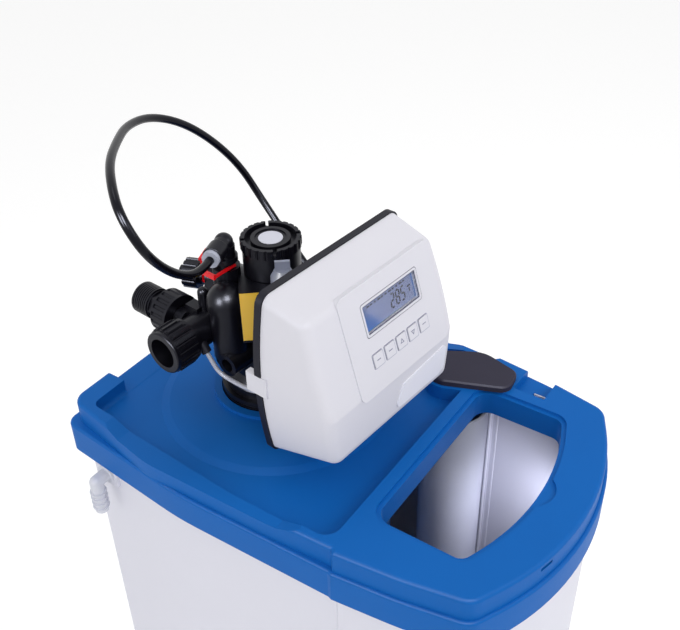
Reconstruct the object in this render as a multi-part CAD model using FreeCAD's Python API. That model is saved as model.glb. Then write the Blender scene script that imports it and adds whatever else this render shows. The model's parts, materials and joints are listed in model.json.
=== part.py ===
# Cabinet water softener: a white cabinet under a blue moulded deck, a pressure tank inside it, and a control
# valve with a white cover on the tank's neck.
# Millimetres. X to the right seen from the front, Y to the back, Z up. The origin is on the floor, under the
# middle of the deck. The valve is drawn in its own frame, on the tank's axis at deck height, and turned on it.
import FreeCAD, Part
import math
import os

V = FreeCAD.Vector

# Deck and cabinet
DECK_TOP = 900.0          # height of the plateau that holds the salt opening
DECK_FRONT = -250.5       # foremost point of the bowed front
STEP_OUT = 4.0            # the front part stands this far outside the rear part
STEP_Y = -87.0            # where the step is
BOW_R = 255.0
BOW_FLAT = 0.8            # half length of the flat piece between the two arcs of a bowed front
SKIRT_DEPTH = 58.0        # from the plateau down to the skirt's lower edge
BAND_DROP = 24.0          # where the skirt's lower band begins
BAND_OUT = 3.5            # how far the lower band stands out
BAND_CORNER_OUT = 11.0    # how far it stands out at the rear corners
DECK_WALL = 3.0
RIM_DROP = 7.0            # the side rims' low stretch lies this far below the plateau
REAR_RIM = 24.5           # width of the rim along the back
FLOOR_DROP = 16.0         # the recess floor below the plateau
PLATEAU_REAR = -78.0      # where the plateau drops to the recess
RIM_LOW_Y = (-26.0, 172.0)    # stretch of the side rims that is low
RIM_RAMP = 22.0           # length of the slopes at its ends
REAR_GAP_HALF = 89.0      # half width of the gap in the rear rim, for the pipes
SHELL_INSET = 4.0         # cabinet wall inside the deck's outline
SHELL_WALL = 3.5
SHELL_FLOOR = 4.0

# Salt opening in the plateau
OPENING_REAR = -90.0
OPENING_FRONT = -209.0    # at the middle of its bowed front
OPENING_BOW_R = 245.0
LEDGE_WIDTH = 4.5
LEDGE_DEPTH = 3.0
OPENING_WALL_DEPTH = 29.0
NOTCH_HALF = 19.0         # finger notch at the middle of the front
NOTCH_REACH = 9.0
NOTCH_X = 3.0

# Tank
TANK_Y = 101.0            # the tank's axis
TANK_R = 128.5
TANK_WALL = 4.0
TANK_SHOULDER = 95.0      # the dome starts this far below the plateau
NECK_R = 40.0
NECK_BORE = 31.0
NECK_RISE = 4.0           # the neck's end above the plateau
RISER_R = 13.5
RISER_WALL = 2.0
HOLE_R = 51.0             # hole in the deck round the neck
RING_R = 59.0             # raised ring round that hole
DOME_R = 122.0            # wide low dome of the deck, a little in front of the neck
DOME_PLACE = (-2.0, 90.0)
TANK_ROOM = 19.3          # between the tank and the cabinet's wall at the sides
TANK_ROOM_REAR = 13.5     # and behind it

# The cabinet and the deck are as wide as the tank and its room need
REAR_HALF = TANK_R + TANK_ROOM + SHELL_WALL + SHELL_INSET    # half width of the rear part at the step
DECK_REAR = TANK_Y + TANK_R + TANK_ROOM_REAR + SHELL_WALL + SHELL_INSET
REAR_CORNER_HALF = REAR_HALF - 15.1
REAR_SWELL = 7.0          # the rear part is this much wider beside the tank
FRONT_CORNER_HALF = REAR_HALF - 15.6
BOW_END = REAR_HALF - 40.9    # half length of the bowed front
OPENING_HALF = REAR_HALF - 47.3
OPENING_BOW_END = OPENING_HALF - 17.0

# Brine well
WELL_R = 36.0
WELL_WALL = 2.5
WELL = (REAR_HALF - SHELL_INSET - SHELL_WALL - WELL_R - 0.8, -61.0)
CAP_CORNERS = [(-2.0, -60.0), (27.5, -56.5), (39.5, -11.0, 30.0), (17.0, 30.0), (-11.0, 31.0), (-27.0, 16.0),
               (-27.0, 3.0)]    # from the well's axis
CAP_CORNER_R = 13.0
CAP_THICK = 7.0
PAD_MARGIN = 3.5

# Valve, in its own frame
HEAD_YAW = -5.4           # degrees that the valve is turned on the neck, seen from above
COLUMN_Y = -15.0          # injector column behind the cover
COLUMN_R = 26.0
COLUMN_TOP = 137.0
BARREL_Z = 88.0           # axis of the piston barrel, which runs front to back
BARREL_R = 30.0
BARREL_BORE = 20.0
BARREL_FRONT = -85.0
BARREL_REAR = 58.0
RUN_Y = 27.0              # axis of the outlet run, which leaves to the left
RUN_Z = 86.0
RUN_BORE = 10.0
BRANCH_X = -60.0          # axis of the rear-facing inlet tail
INLET_Y = 46.5            # the inlet's way into the barrel
INLET_R = 11.0
INLET_BORE = 7.5
INLET_FACE = 57.5
SOCKET_R = 21.7
SOCKET_BORE = 15.2        # female G1 socket
SOCKET_END = -112.0
TAIL_R = 16.6             # male G1 thread
TAIL_BORE = 12.0
SIDE_PORT_Y = -10.0
SIDE_PORT_Z = 61.0
SIDE_PORT_BORE = 7.0
TOWER = (-33.5, 13.2)     # brine port tower
TOWER_R = 13.5
TOWER_TOP = 151.0
DRAIN = (-6.0, 52.0, 107.0)   # where the drain port leaves the barrel's rear
DRAIN_WAY = V(-0.42, 0.907, 0)
DRAIN_R = 12.0
REFILL = (-22.5, -50.0)   # tower under the grey plug
REFILL_R = 11.5
REFILL_TOP = 141.0
HOSE_R = 4.05
HOSE_BORE = 2.7
NUT_FACE = (-62.0, 1.0, 176.0)    # where the hose leaves its nut
CABLE_R = 2.2

# Cover and drive, in the valve's frame
PLATE_REAR = -85.0
PLATE_FRONT = -92.0
COVER_HALF_REAR = 100.6   # half width at the height where the bulging sides are widest
COVER_HALF_FRONT = 92.0
COVER_WIDE_Z = 105.0
SIDE_R = 383.0            # radius of the bulging sides
SIDE_SPAN = 125.0         # half height over which their arc is drawn
PLATE_MARGIN = 1.5        # the black plate stands this far outside the cover
CLIP_Z = (89.0, 110.0)    # height of the snap hooks at the cover's sides
CLIP_REACH = 11.0         # how far they reach behind the black plate
COVER_LOW_REAR = 16.0
COVER_LOW_FRONT = 33.0
COVER_TOP_REAR = 190.0
FOLD_Y = -136.5           # where the top slope turns into the tilted panel
FOLD_Z = 178.0
CHIN_Y = -163.8           # where the panel turns into the upright chin
CHIN_Z = 88.0
COVER_WALL = 2.5
COVER_ROUND = 11.0
PANEL_X = 15.0            # middle of the raised panel, to the right of the valve's axis
PANEL_HALF = 66.0
PANEL_RISE = 1.2
BUTTON_PITCH = 17.0
BUTTON_HALF = 6.4
BUTTON_S = 69.0           # distance of the buttons' middle down the panel
DISPLAY_HALF = 37.0
DISPLAY_S = (16.5, 42.5)
GEAR_MODULE = 1.5
DRIVE_TEETH = 40
REDUCTION_TEETH = 30
REDUCTION_PINION_TEETH = 12
MOTOR_TEETH = 12

FIT = 0.05                # radial clearance of fits that run or plug together
LOOSE = 0.3               # gap between pieces that only lie beside each other
WIDE = 250.0              # half width of the blocks that cut or keep a whole side


def export(name, shape):
    """Write one piece, or one group of separate solids, as parts/NAME.step."""
    solids = shape.Solids
    if len(solids) == 1:
        shape = solids[0]
    else:
        shape = Part.makeCompound(solids)
    if not shape.isValid():
        print("not valid:", name)
    shape.exportStep("parts/" + name + ".step")
    print("%-22s solids %d  volume %.1f cm3" % (name, len(solids), shape.Volume / 1000))


def box(x, y, z):
    """Block between the two values given on each axis."""
    low = V(min(x), min(y), min(z))
    return Part.makeBox(abs(x[1] - x[0]), abs(y[1] - y[0]), abs(z[1] - z[0]), low)


def rod(radius, start, end):
    """Round bar from one point to another."""
    start = V(*start)
    way = V(*end) - start
    return Part.makeCylinder(radius, way.Length, start, way)


def cone(radius_a, radius_b, start, end):
    start = V(*start)
    way = V(*end) - start
    return Part.makeCone(radius_a, radius_b, way.Length, start, way)


def tube(outer, inner, start, end):
    return rod(outer, start, end).cut(rod(inner, start, end))


def union(shapes):
    result = shapes[0].multiFuse(shapes[1:])
    return result.removeSplitter()


def prism(wire, low, high):
    """Solid between two heights over a closed outline drawn at height zero."""
    face = Part.Face(wire)
    face.translate(V(0, 0, low))
    return face.extrude(V(0, 0, high - low))


def offset(wire, distance):
    return wire.makeOffset2D(distance)


def polygon(points):
    corners = [V(*p) for p in points]
    return Part.makePolygon(corners + corners[:1])


def rounded_polygon(corners, radius=0.0):
    """Closed flat outline of (x, y) or (x, y, radius) corners, each one replaced by a tangent arc."""
    edges = []
    ends = []
    count = len(corners)
    for i in range(count):
        round_by = corners[i][2] if len(corners[i]) > 2 else radius
        here = V(corners[i][0], corners[i][1], 0)
        before = V(corners[i - 1][0], corners[i - 1][1], 0) - here
        after = V(corners[(i + 1) % count][0], corners[(i + 1) % count][1], 0) - here
        before.normalize()
        after.normalize()
        half = before.getAngle(after) / 2
        middle = before + after
        middle.normalize()
        reach = round_by / math.tan(half)
        centre = here + middle * (round_by / math.sin(half))
        start = here + before * reach
        end = here + after * reach
        edges.append(Part.Arc(start, centre - middle * round_by, end).toShape())
        ends.append((start, end))
    for i in range(count):
        edges.append(Part.makeLine(ends[i - 1][1], ends[i][0]))
    return Part.Wire(Part.__sortEdges__(edges))


def mirrored_polygon(corners):
    """Closed outline from the corners of its right half, listed from back to front."""
    left = [(-x, y, r) for x, y, r in reversed(corners)]
    return rounded_polygon(corners + left)


def revolve(points):
    """Solid turned about Z from an outline of (radius, height) points."""
    wire = polygon([(r, 0, z) for r, z in points])
    return Part.Face(wire).revolve(V(0, 0, 0), V(0, 0, 1), 360)


def seat_head(shape):
    """Carry a shape from the valve's frame to its place on the tank."""
    placed = shape.copy()
    placed.rotate(V(0, 0, 0), V(0, 0, 1), HEAD_YAW)
    placed.translate(V(0, TANK_Y, DECK_TOP))
    return placed


def level(drop):
    """Height of something that lies this far below the plateau."""
    return DECK_TOP - drop


# Deck


def bow_corners(half, bow_end, radius, front):
    """Where the tangents to a bowed front cross: how far from the middle, and y at the corner."""
    turn = math.asin(bow_end / radius)
    crossing = radius * math.tan(turn / 2) + BOW_FLAT
    return crossing, front + (half - crossing) * math.tan(turn)


def front_corners(out):
    """Right half of the bowed front, moved outwards."""
    half = FRONT_CORNER_HALF + out
    crossing, corner_y = bow_corners(half, BOW_END + out, BOW_R + out, DECK_FRONT - out)
    return [(half, corner_y, 20.0), (crossing, DECK_FRONT - out, BOW_R + out)]


def deck_outline():
    """The deck's outer edge: straight back, swelling sides, a step outwards, a bowed front."""
    front = REAR_HALF + STEP_OUT
    return mirrored_polygon([
        (REAR_CORNER_HALF, DECK_REAR, 18.0),
        (REAR_HALF + REAR_SWELL, TANK_Y + 27.0, 120.0),
        (REAR_HALF + 4.3, TANK_Y - 111.0, 300.0),
        (REAR_HALF, STEP_Y + STEP_OUT, 1.0),
        (front, STEP_Y, 1.0),
        (front - 7.3, STEP_Y - 63.0, 300.0),
    ] + front_corners(0.0))


def band_outline():
    """Outer edge of the skirt's lower band, which stands out most at the rear corners."""
    front = REAR_HALF + STEP_OUT + BAND_OUT
    return mirrored_polygon([
        (REAR_CORNER_HALF + BAND_CORNER_OUT, DECK_REAR + BAND_OUT, 14.0),
        (REAR_HALF + REAR_SWELL + BAND_OUT, TANK_Y - 11.0, 400.0),
        (REAR_HALF + 6.2, STEP_Y + STEP_OUT, 1.0),
        (front, STEP_Y, 1.0),
        (front - 7.3, STEP_Y - 63.0, 300.0),
    ] + front_corners(BAND_OUT))


def recess_outline():
    """Inner edge of the rims round the sunk part of the deck."""
    return mirrored_polygon([
        (REAR_HALF - 21.3, DECK_REAR - REAR_RIM, 9.0),
        (REAR_HALF - 7.5, TANK_Y - 67.0, 200.0),
        (REAR_HALF - 7.3, PLATEAU_REAR, 16.0),
    ])


def opening_outline():
    """The salt opening's outer lip: straight back and sides, bowed front."""
    crossing, corner_y = bow_corners(OPENING_HALF, OPENING_BOW_END, OPENING_BOW_R, OPENING_FRONT)
    return mirrored_polygon([
        (OPENING_HALF, OPENING_REAR, 20.0),
        (OPENING_HALF, corner_y, 16.0),
        (crossing, OPENING_FRONT, OPENING_BOW_R),
    ])


def cap_outline():
    corners = []
    for corner in CAP_CORNERS:
        corners.append((WELL[0] + corner[0], WELL[1] + corner[1], *corner[2:]))
    return rounded_polygon(corners, CAP_CORNER_R)


def deck_recess():
    """Space above the recess floor, inside the rims."""
    space = prism(recess_outline(), level(FLOOR_DROP), DECK_TOP + 5)
    floor_edges = [e for e in space.Edges if abs(e.BoundBox.ZMax - level(FLOOR_DROP)) < 0.01]
    return space.makeFillet(5.0, floor_edges)


def rim_step():
    """What is taken off the side rims where they are low, with a slope at each end."""
    low = level(RIM_DROP)
    profile = [
        (0, RIM_LOW_Y[0] - RIM_RAMP, DECK_TOP),
        (0, RIM_LOW_Y[0], low),
        (0, RIM_LOW_Y[1], low),
        (0, RIM_LOW_Y[1] + RIM_RAMP, DECK_TOP),
        (0, RIM_LOW_Y[1] + RIM_RAMP, DECK_TOP + 5),
        (0, RIM_LOW_Y[0] - RIM_RAMP, DECK_TOP + 5),
    ]
    face = Part.Face(polygon(profile))
    face.translate(V(-WIDE, 0, 0))
    return face.extrude(V(2 * WIDE, 0, 0))


FLANGE_DROP = 9.0
FLANGE_Y = (-155.0, -121.5)
FLANGE_X = REAR_HALF - 34.8
SLOT_WIDTH = 5.5
SLOT_LENGTH = 13.0
SLOTS = [(REAR_HALF - 28.3, -129.8), (REAR_HALF - 23.3, -145.3)]    # middles of the slots
LATCH_X = -64.5
LATCH_LENGTH = 15.0
LATCH_REACH = 6.0
LATCH_DROP = (6.5, 10.5)  # upper and lower edge of the latch slot below the plateau


def deck_slots():
    """Two slots for the lid's tabs, through the low flange at the right side."""
    slots = []
    for x, y in SLOTS:
        slots.append(box((x - SLOT_WIDTH / 2, x + SLOT_WIDTH / 2), (y - SLOT_LENGTH / 2, y + SLOT_LENGTH / 2),
                         (level(SKIRT_DEPTH), DECK_TOP)))
    return slots


def latch_slot():
    """Narrow slot in the upright front wall, left of the middle, for the lid's latch."""
    half = LATCH_LENGTH / 2
    bow_y = DECK_FRONT + BOW_R
    turn = math.asin(LATCH_X / BOW_R)
    slot = box((-half, half), (-5.0, LATCH_REACH), (level(LATCH_DROP[1]), level(LATCH_DROP[0])))
    slot.rotate(V(0, 0, 0), V(0, 0, 1), math.degrees(turn))
    slot.translate(V(LATCH_X, bow_y - BOW_R * math.cos(turn), 0))
    return slot


def tank_dome():
    """Low dome of the deck round the neck."""
    floor = level(FLOOR_DROP)
    shape = revolve([
        (0, floor - 2), (DOME_R, floor - 2), (DOME_R, floor), (DOME_R - 9, floor + 2.4),
        (RING_R + 14, floor + 6.0), (RING_R, floor + 7.0), (0, floor + 7.0),
    ])
    shape.translate(V(*DOME_PLACE, 0))
    return shape


def finger_notch(grow, low):
    """Shallow dish at the opening's front edge."""
    radius = (NOTCH_HALF ** 2 + NOTCH_REACH ** 2) / (2 * NOTCH_REACH)
    y = OPENING_FRONT - NOTCH_REACH + radius
    return rod(radius + grow, (NOTCH_X, y, level(low)), (NOTCH_X, y, DECK_TOP + 1))


def front_room(lip):
    """Hollow under the front part, with what stays under the ledge, the notch and the flange left out."""
    top = level(DECK_WALL)
    room = prism(offset(deck_outline(), -DECK_WALL - 1), level(FLOOR_DROP + DECK_WALL + 1), top)
    room = room.common(box((-WIDE, WIDE), (DECK_FRONT, PLATEAU_REAR - DECK_WALL), (0, DECK_TOP)))
    kept = [
        prism(offset(lip, -LEDGE_WIDTH + DECK_WALL), level(FLOOR_DROP + DECK_WALL + 2), top),
        prism(offset(lip, DECK_WALL), level(LEDGE_DEPTH + DECK_WALL), top + 1),
        finger_notch(DECK_WALL, LEDGE_DEPTH + DECK_WALL),
        box((FLANGE_X - DECK_WALL, WIDE), (FLANGE_Y[0] - DECK_WALL, FLANGE_Y[1] + DECK_WALL),
            (level(FLANGE_DROP + DECK_WALL), DECK_TOP)),
    ]
    return room.cut(union(kept))


def top_deck():
    outline = deck_outline()
    upper = prism(outline, level(BAND_DROP + 1), DECK_TOP)
    top_edges = [e for e in upper.Edges if e.BoundBox.ZMin > DECK_TOP - 0.01]
    upper = upper.makeFillet(4.0, top_edges)
    band = prism(band_outline(), level(SKIRT_DEPTH), level(BAND_DROP))
    band_edges = [e for e in band.Edges if e.BoundBox.ZMin > level(BAND_DROP) - 0.01]
    band = band.makeFillet(BAND_OUT - 0.6, band_edges)
    deck = upper.fuse(band)
    deck = deck.cut(deck_recess())
    deck = deck.cut(rim_step())
    # raised pad round the brine well's cap
    pad = prism(offset(cap_outline(), PAD_MARGIN), level(FLOOR_DROP + 1), DECK_TOP)
    deck = deck.fuse(pad.common(prism(offset(outline, -0.8), level(FLOOR_DROP + 1), DECK_TOP)))
    # dome and ring round the tank's neck, and the grommet's boss
    deck = deck.fuse(tank_dome())
    ring = tube(RING_R, HOLE_R - 1, (0, TANK_Y, level(FLOOR_DROP)), (0, TANK_Y, level(5.0)))
    deck = deck.fuse(ring)
    deck = deck.fuse(rod(GROMMET_R + 6, (*GROMMET, level(FLOOR_DROP)), (*GROMMET, grommet_seat())))
    # hollow underneath
    low = level(SKIRT_DEPTH + 1)
    deck = deck.cut(prism(offset(outline, -DECK_WALL), low, level(FLOOR_DROP + DECK_WALL)))
    deck = deck.cut(prism(offset(band_outline(), -DECK_WALL), low, level(BAND_DROP + DECK_WALL)))
    lip = opening_outline()
    deck = deck.cut(front_room(lip))
    # salt opening with its ledge and hanging wall
    wall = prism(offset(lip, -LEDGE_WIDTH + DECK_WALL), level(OPENING_WALL_DEPTH), level(DECK_WALL + 1))
    deck = deck.fuse(wall)
    deck = deck.cut(prism(lip, level(LEDGE_DEPTH), DECK_TOP + 1))
    deck = deck.cut(prism(offset(lip, -LEDGE_WIDTH), level(OPENING_WALL_DEPTH + 1), DECK_TOP + 1))
    deck = deck.cut(finger_notch(0.0, LEDGE_DEPTH))
    # holes and small features
    deck = deck.cut(rod(HOLE_R, (0, TANK_Y, level(SKIRT_DEPTH)), (0, TANK_Y, DECK_TOP + 1)))
    deck = deck.cut(prism(offset(cap_outline(), -CAP_BRIM), level(FLOOR_DROP + 14), DECK_TOP + 1))
    deck = deck.cut(box((-REAR_GAP_HALF, REAR_GAP_HALF), (DECK_REAR - REAR_RIM - 3, DECK_REAR + 10),
                        (level(FLOOR_DROP), DECK_TOP + 5)))
    deck = deck.cut(box((FLANGE_X, WIDE), FLANGE_Y, (level(FLANGE_DROP), DECK_TOP + 5)))
    for slot in deck_slots():
        deck = deck.cut(slot)
    deck = deck.cut(latch_slot())
    deck = deck.cut(rod(GROMMET_R, (*GROMMET, level(SKIRT_DEPTH)), (*GROMMET, DECK_TOP)))
    return deck.removeSplitter()


GROMMET = (REAR_HALF - 50.3, TANK_Y - 11.0)
GROMMET_R = 9.0
CAP_BRIM = 9.0            # how far the cap's edge reaches past its hole


def brine_well_cap():
    """Flat lid with a bevelled edge and a plug that drops into the hole."""
    outline = cap_outline()
    lid = prism(outline, DECK_TOP, DECK_TOP + CAP_THICK)
    edges = [e for e in lid.Edges if e.BoundBox.ZMin > DECK_TOP + CAP_THICK - 0.01]
    lid = lid.makeChamfer(1.6, edges)
    plug = prism(offset(outline, -CAP_BRIM - LOOSE), level(10), DECK_TOP)
    hollow = prism(offset(outline, -CAP_BRIM - 2.5), level(11), DECK_TOP + CAP_THICK - 3)
    return lid.fuse(plug).cut(hollow).removeSplitter()


# Cabinet


OVERFLOW_Y = DECK_REAR - 44.5
OVERFLOW_DROP = 74.0
OVERFLOW_R = 7.0
OVERFLOW_BORE = 4.8
OVERFLOW_REACH = 15.5     # from the pad to the spout's axis
OVERFLOW_LENGTH = 40.0
OVERFLOW_PAD = (-REAR_HALF + 5.3, -REAR_HALF + 17.8)    # faces of the flat pad in the cabinet wall


def cabinet_shell():
    outline = deck_outline()
    top = level(FLOOR_DROP + DECK_WALL)
    shell = prism(offset(outline, -SHELL_INSET), 0, top)
    shell = shell.cut(prism(offset(outline, -SHELL_INSET - SHELL_WALL), SHELL_FLOOR, top + 1))
    z = level(OVERFLOW_DROP)
    shell = shell.fuse(box(OVERFLOW_PAD, (OVERFLOW_Y - 14, OVERFLOW_Y + 14), (z - 14, z + 14)))
    outer_face, inner_face = OVERFLOW_PAD
    shell = shell.cut(rod(OVERFLOW_R + FIT, (outer_face - 1, OVERFLOW_Y, z), (inner_face + 1, OVERFLOW_Y, z)))
    return shell.removeSplitter()


def overflow_elbow():
    """Barbed elbow: a flange on the wall, a bend and a ringed spout pointing down."""
    x, inner_face = OVERFLOW_PAD
    z = level(OVERFLOW_DROP)
    outlet = x - OVERFLOW_REACH
    inner_end = inner_face + 10.0
    pieces = [
        rod(OVERFLOW_R, (inner_end, OVERFLOW_Y, z), (outlet, OVERFLOW_Y, z)),
        rod(10.5, (x - 2.5, OVERFLOW_Y, z), (x, OVERFLOW_Y, z)),
        Part.makeSphere(OVERFLOW_R, V(outlet, OVERFLOW_Y, z)),
        rod(OVERFLOW_R, (outlet, OVERFLOW_Y, z), (outlet, OVERFLOW_Y, z - OVERFLOW_LENGTH)),
    ]
    for i in range(4):
        low = z - OVERFLOW_LENGTH + 2.0 + i * 7.0
        barb_foot = (outlet, OVERFLOW_Y, low)
        barb_top = (outlet, OVERFLOW_Y, low + 4.5)
        pieces.append(cone(OVERFLOW_R + 0.2, OVERFLOW_R + 1.8, barb_foot, barb_top))
    solid = union(pieces)
    bore = rod(OVERFLOW_BORE, (inner_end + 1, OVERFLOW_Y, z), (outlet, OVERFLOW_Y, z))
    down = rod(OVERFLOW_BORE, (outlet, OVERFLOW_Y, z + 1.5), (outlet, OVERFLOW_Y, z - OVERFLOW_LENGTH - 1))
    return solid.cut(bore.fuse(down))


def overflow_nut():
    x = OVERFLOW_PAD[1]
    z = level(OVERFLOW_DROP)
    hexagon = []
    for i in range(6):
        turn = math.radians(60 * i)
        hexagon.append((0, OVERFLOW_Y + 12.5 * math.cos(turn), z + 12.5 * math.sin(turn)))
    face = Part.Face(polygon(hexagon))
    face.translate(V(x, 0, 0))
    nut = face.extrude(V(6.0, 0, 0))
    return nut.cut(rod(OVERFLOW_R + FIT, (x - 1, OVERFLOW_Y, z), (x + 8, OVERFLOW_Y, z)))


# Tank


TANK_FOOT = 14.0          # lowest point of the tank's bottom dome
BED_TOP = 520.0           # top of the resin


def tank_profile(inset):
    """(radius, height) outline of the tank, moved inwards by the inset."""
    shoulder = level(TANK_SHOULDER)
    radius = TANK_R - inset
    neck = NECK_R - inset
    foot = TANK_FOOT + inset
    points = [(0, foot)]
    for i in range(1, 9):
        turn = math.radians(90 * i / 8)
        points.append((radius * math.sin(turn), foot + 68.0 * (1 - math.cos(turn))))
    dome = level(20.0) - shoulder - inset
    for i in range(0, 9):
        turn = math.radians(90 * i / 8)
        ring = radius * math.cos(turn)
        if ring > neck:
            points.append((ring, shoulder + dome * math.sin(turn)))
    points.append((neck, shoulder + dome * math.sqrt(1 - (neck / radius) ** 2)))
    return points


def resin_tank():
    outer = tank_profile(0)
    top = DECK_TOP + NECK_RISE
    outer += [(NECK_R, top), (0, top)]
    body = revolve(outer)
    inner = tank_profile(TANK_WALL)
    last = inner[-1]
    inner[-1] = (NECK_BORE + 0.5, last[1])
    inner += [(NECK_BORE, last[1] + 0.5), (NECK_BORE, top + 1), (0, top + 1)]
    body = body.cut(revolve(inner))
    body.translate(V(0, TANK_Y, 0))
    return body


def tank_base():
    """Foot ring that the round-bottomed tank stands in."""
    ring = rod(TANK_R + 4, (0, TANK_Y, SHELL_FLOOR), (0, TANK_Y, 74.0))
    room = revolve(tank_profile(0) + [(0, level(TANK_SHOULDER))])
    room.translate(V(0, TANK_Y, 0))
    ring = ring.cut(room)
    return ring.cut(rod(60, (0, TANK_Y, 0), (0, TANK_Y, 80)))


def resin_bed():
    """The resin, about half of the tank."""
    room = revolve(tank_profile(TANK_WALL + LOOSE) + [(0, level(TANK_SHOULDER))])
    room.translate(V(0, TANK_Y, 0))
    bed = room.common(rod(TANK_R, (0, TANK_Y, 0), (0, TANK_Y, BED_TOP)))
    bed = bed.cut(rod(RISER_R + LOOSE, (0, TANK_Y, 0), (0, TANK_Y, BED_TOP + 1)))
    return bed.cut(rod(26.0, (0, TANK_Y, 0), (0, TANK_Y, 78.0)))


def riser_tube():
    return tube(RISER_R, RISER_R - RISER_WALL, (0, TANK_Y, 60.0), (0, TANK_Y, DECK_TOP + 30.0))


def lower_distributor():
    """Slotted basket at the foot of the riser."""
    low = TANK_FOOT + TANK_WALL + 1.5
    basket = tube(24.0, 20.0, (0, TANK_Y, low), (0, TANK_Y, 76.0))
    basket = basket.fuse(tube(22.0, RISER_R + FIT, (0, TANK_Y, 70.0), (0, TANK_Y, 76.0)))
    basket = basket.fuse(rod(22.0, (0, TANK_Y, low), (0, TANK_Y, low + 3.0)))
    for i in range(9):
        z = low + 7.0 + i * 4.6
        basket = basket.cut(box((-30, 30), (TANK_Y - 14, TANK_Y + 14), (z, z + 1.2)))
    return basket


def upper_distributor():
    """Slotted basket under the valve."""
    top = DECK_TOP + NECK_RISE - 30.0
    basket = tube(28.0, 25.0, (0, TANK_Y, top - 38.0), (0, TANK_Y, top))
    basket = basket.fuse(tube(26.0, RISER_R + LOOSE, (0, TANK_Y, top - 38.0), (0, TANK_Y, top - 35.0)))
    for i in range(5):
        z = top - 31.0 + i * 5.0
        basket = basket.cut(box((-40, 40), (TANK_Y - 15, TANK_Y + 15), (z, z + 1.2)))
    return basket


# Brine side


GRID_Z = 110.0
PICKUP = (WELL[0] - 6.0, WELL[1] + 24.0)
PICKUP_R = 4.0
FLOAT_R = 14.0
FLOAT_Z = 380.0
FLOAT_LENGTH = 60.0
FLOAT_ROD_R = 2.5
BRACKET_Z = 846.0


def brine_well_tube():
    top = level(OPENING_WALL_DEPTH + 12.0)
    well = tube(WELL_R, WELL_R - WELL_WALL, (*WELL, SHELL_FLOOR), (*WELL, top))
    for i in range(6):
        z = 20.0 + i * 12.0
        well = well.cut(rod(3.0, (WELL[0] - 60, WELL[1], z), (WELL[0] + 60, WELL[1], z)))
    return well


def salt_grid():
    """Perforated plate on four legs that holds the salt off the floor."""
    plate = prism(offset(deck_outline(), -SHELL_INSET - SHELL_WALL - 1.5), GRID_Z, GRID_Z + 4)
    plate = plate.common(box((-WIDE, WIDE), (DECK_FRONT, TANK_Y - 41.0), (GRID_Z, GRID_Z + 4)))
    plate = plate.cut(rod(TANK_R + 3, (0, TANK_Y, GRID_Z - 1), (0, TANK_Y, GRID_Z + 5)))
    plate = plate.cut(rod(WELL_R + 1, (*WELL, GRID_Z - 1), (*WELL, GRID_Z + 5)))
    for i in range(11):
        for j in range(5):
            x = -110.0 + i * 22.0
            y = -215.0 + j * 22.0
            if math.hypot(x - WELL[0], y - WELL[1]) > WELL_R + 8 and math.hypot(x, y - TANK_Y) > TANK_R + 9:
                plate = plate.cut(rod(4.0, (x, y, GRID_Z - 1), (x, y, GRID_Z + 5)))
    legs = []
    out = REAR_HALF - 55.3
    for x, y in ((-out, DECK_FRONT + 46.5), (out, DECK_FRONT + 46.5), (-out - 21.0, -100.0), (40.0, -116.0)):
        legs.append(rod(7.0, (x, y, SHELL_FLOOR), (x, y, GRID_Z)))
    return union([plate] + legs)


def float_bracket():
    """Cross-bar in the well's mouth that guides the float's rod."""
    low = BRACKET_Z
    across = box((WELL[0] - 60, WELL[0] + 60), (WELL[1] - 7, WELL[1] + 7), (low, low + 10))
    arm = box((PICKUP[0] - 9, PICKUP[0] + 9), (WELL[1], WELL[1] + 60), (low, low + 10))
    bar = rod(WELL_R - WELL_WALL - FIT, (*WELL, low), (*WELL, low + 10)).common(across.fuse(arm))
    bar = bar.cut(rod(FLOAT_ROD_R + FIT, (*WELL, low - 1), (*WELL, low + 12)))
    return bar.cut(rod(PICKUP_R + FIT, (*PICKUP, low - 1), (*PICKUP, low + 12)))


def brine_float():
    """Float with its rod, which runs through the guide in the well's mouth."""
    body = rod(FLOAT_R, (*WELL, FLOAT_Z), (*WELL, FLOAT_Z + FLOAT_LENGTH))
    edges = [e for e in body.Edges if e.Curve.TypeId == "Part::GeomCircle"]
    body = body.makeFillet(3.0, edges)
    return body.fuse(rod(FLOAT_ROD_R, (*WELL, FLOAT_Z + 40.0), (*WELL, BRACKET_Z + 18.0)))


def pickup_route():
    """Inner brine tube: down from the grommet, across to the well and down inside it."""
    across = level(FLOOR_DROP + DECK_WALL + 14.0)
    return [
        (GROMMET[0], GROMMET[1], level(FLOOR_DROP) - 2.0),
        (GROMMET[0], GROMMET[1], across),
        (PICKUP[0], PICKUP[1], across),
        (PICKUP[0], PICKUP[1], 70.0),
    ]


def pickup_tube():
    points = [V(*p) for p in pickup_route()]
    return swept_tube(points, PICKUP_R, PICKUP_R - 1.2, [8.0, 8.0])


def air_check():
    """Foot strainer of the pick-up tube, with its ball chamber."""
    body = tube(8.0, 6.0, (*PICKUP, 18.0), (*PICKUP, 78.0))
    body = body.fuse(tube(7.0, PICKUP_R + FIT, (*PICKUP, 70.0), (*PICKUP, 78.0)))
    for i in range(6):
        z = 24.0 + i * 5.0
        body = body.cut(box((PICKUP[0] - 10, PICKUP[0] + 10), (PICKUP[1] - 3, PICKUP[1] + 3), (z, z + 1.5)))
    return body.fuse(rod(8.0, (*PICKUP, SHELL_FLOOR), (*PICKUP, 18.0)))


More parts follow.
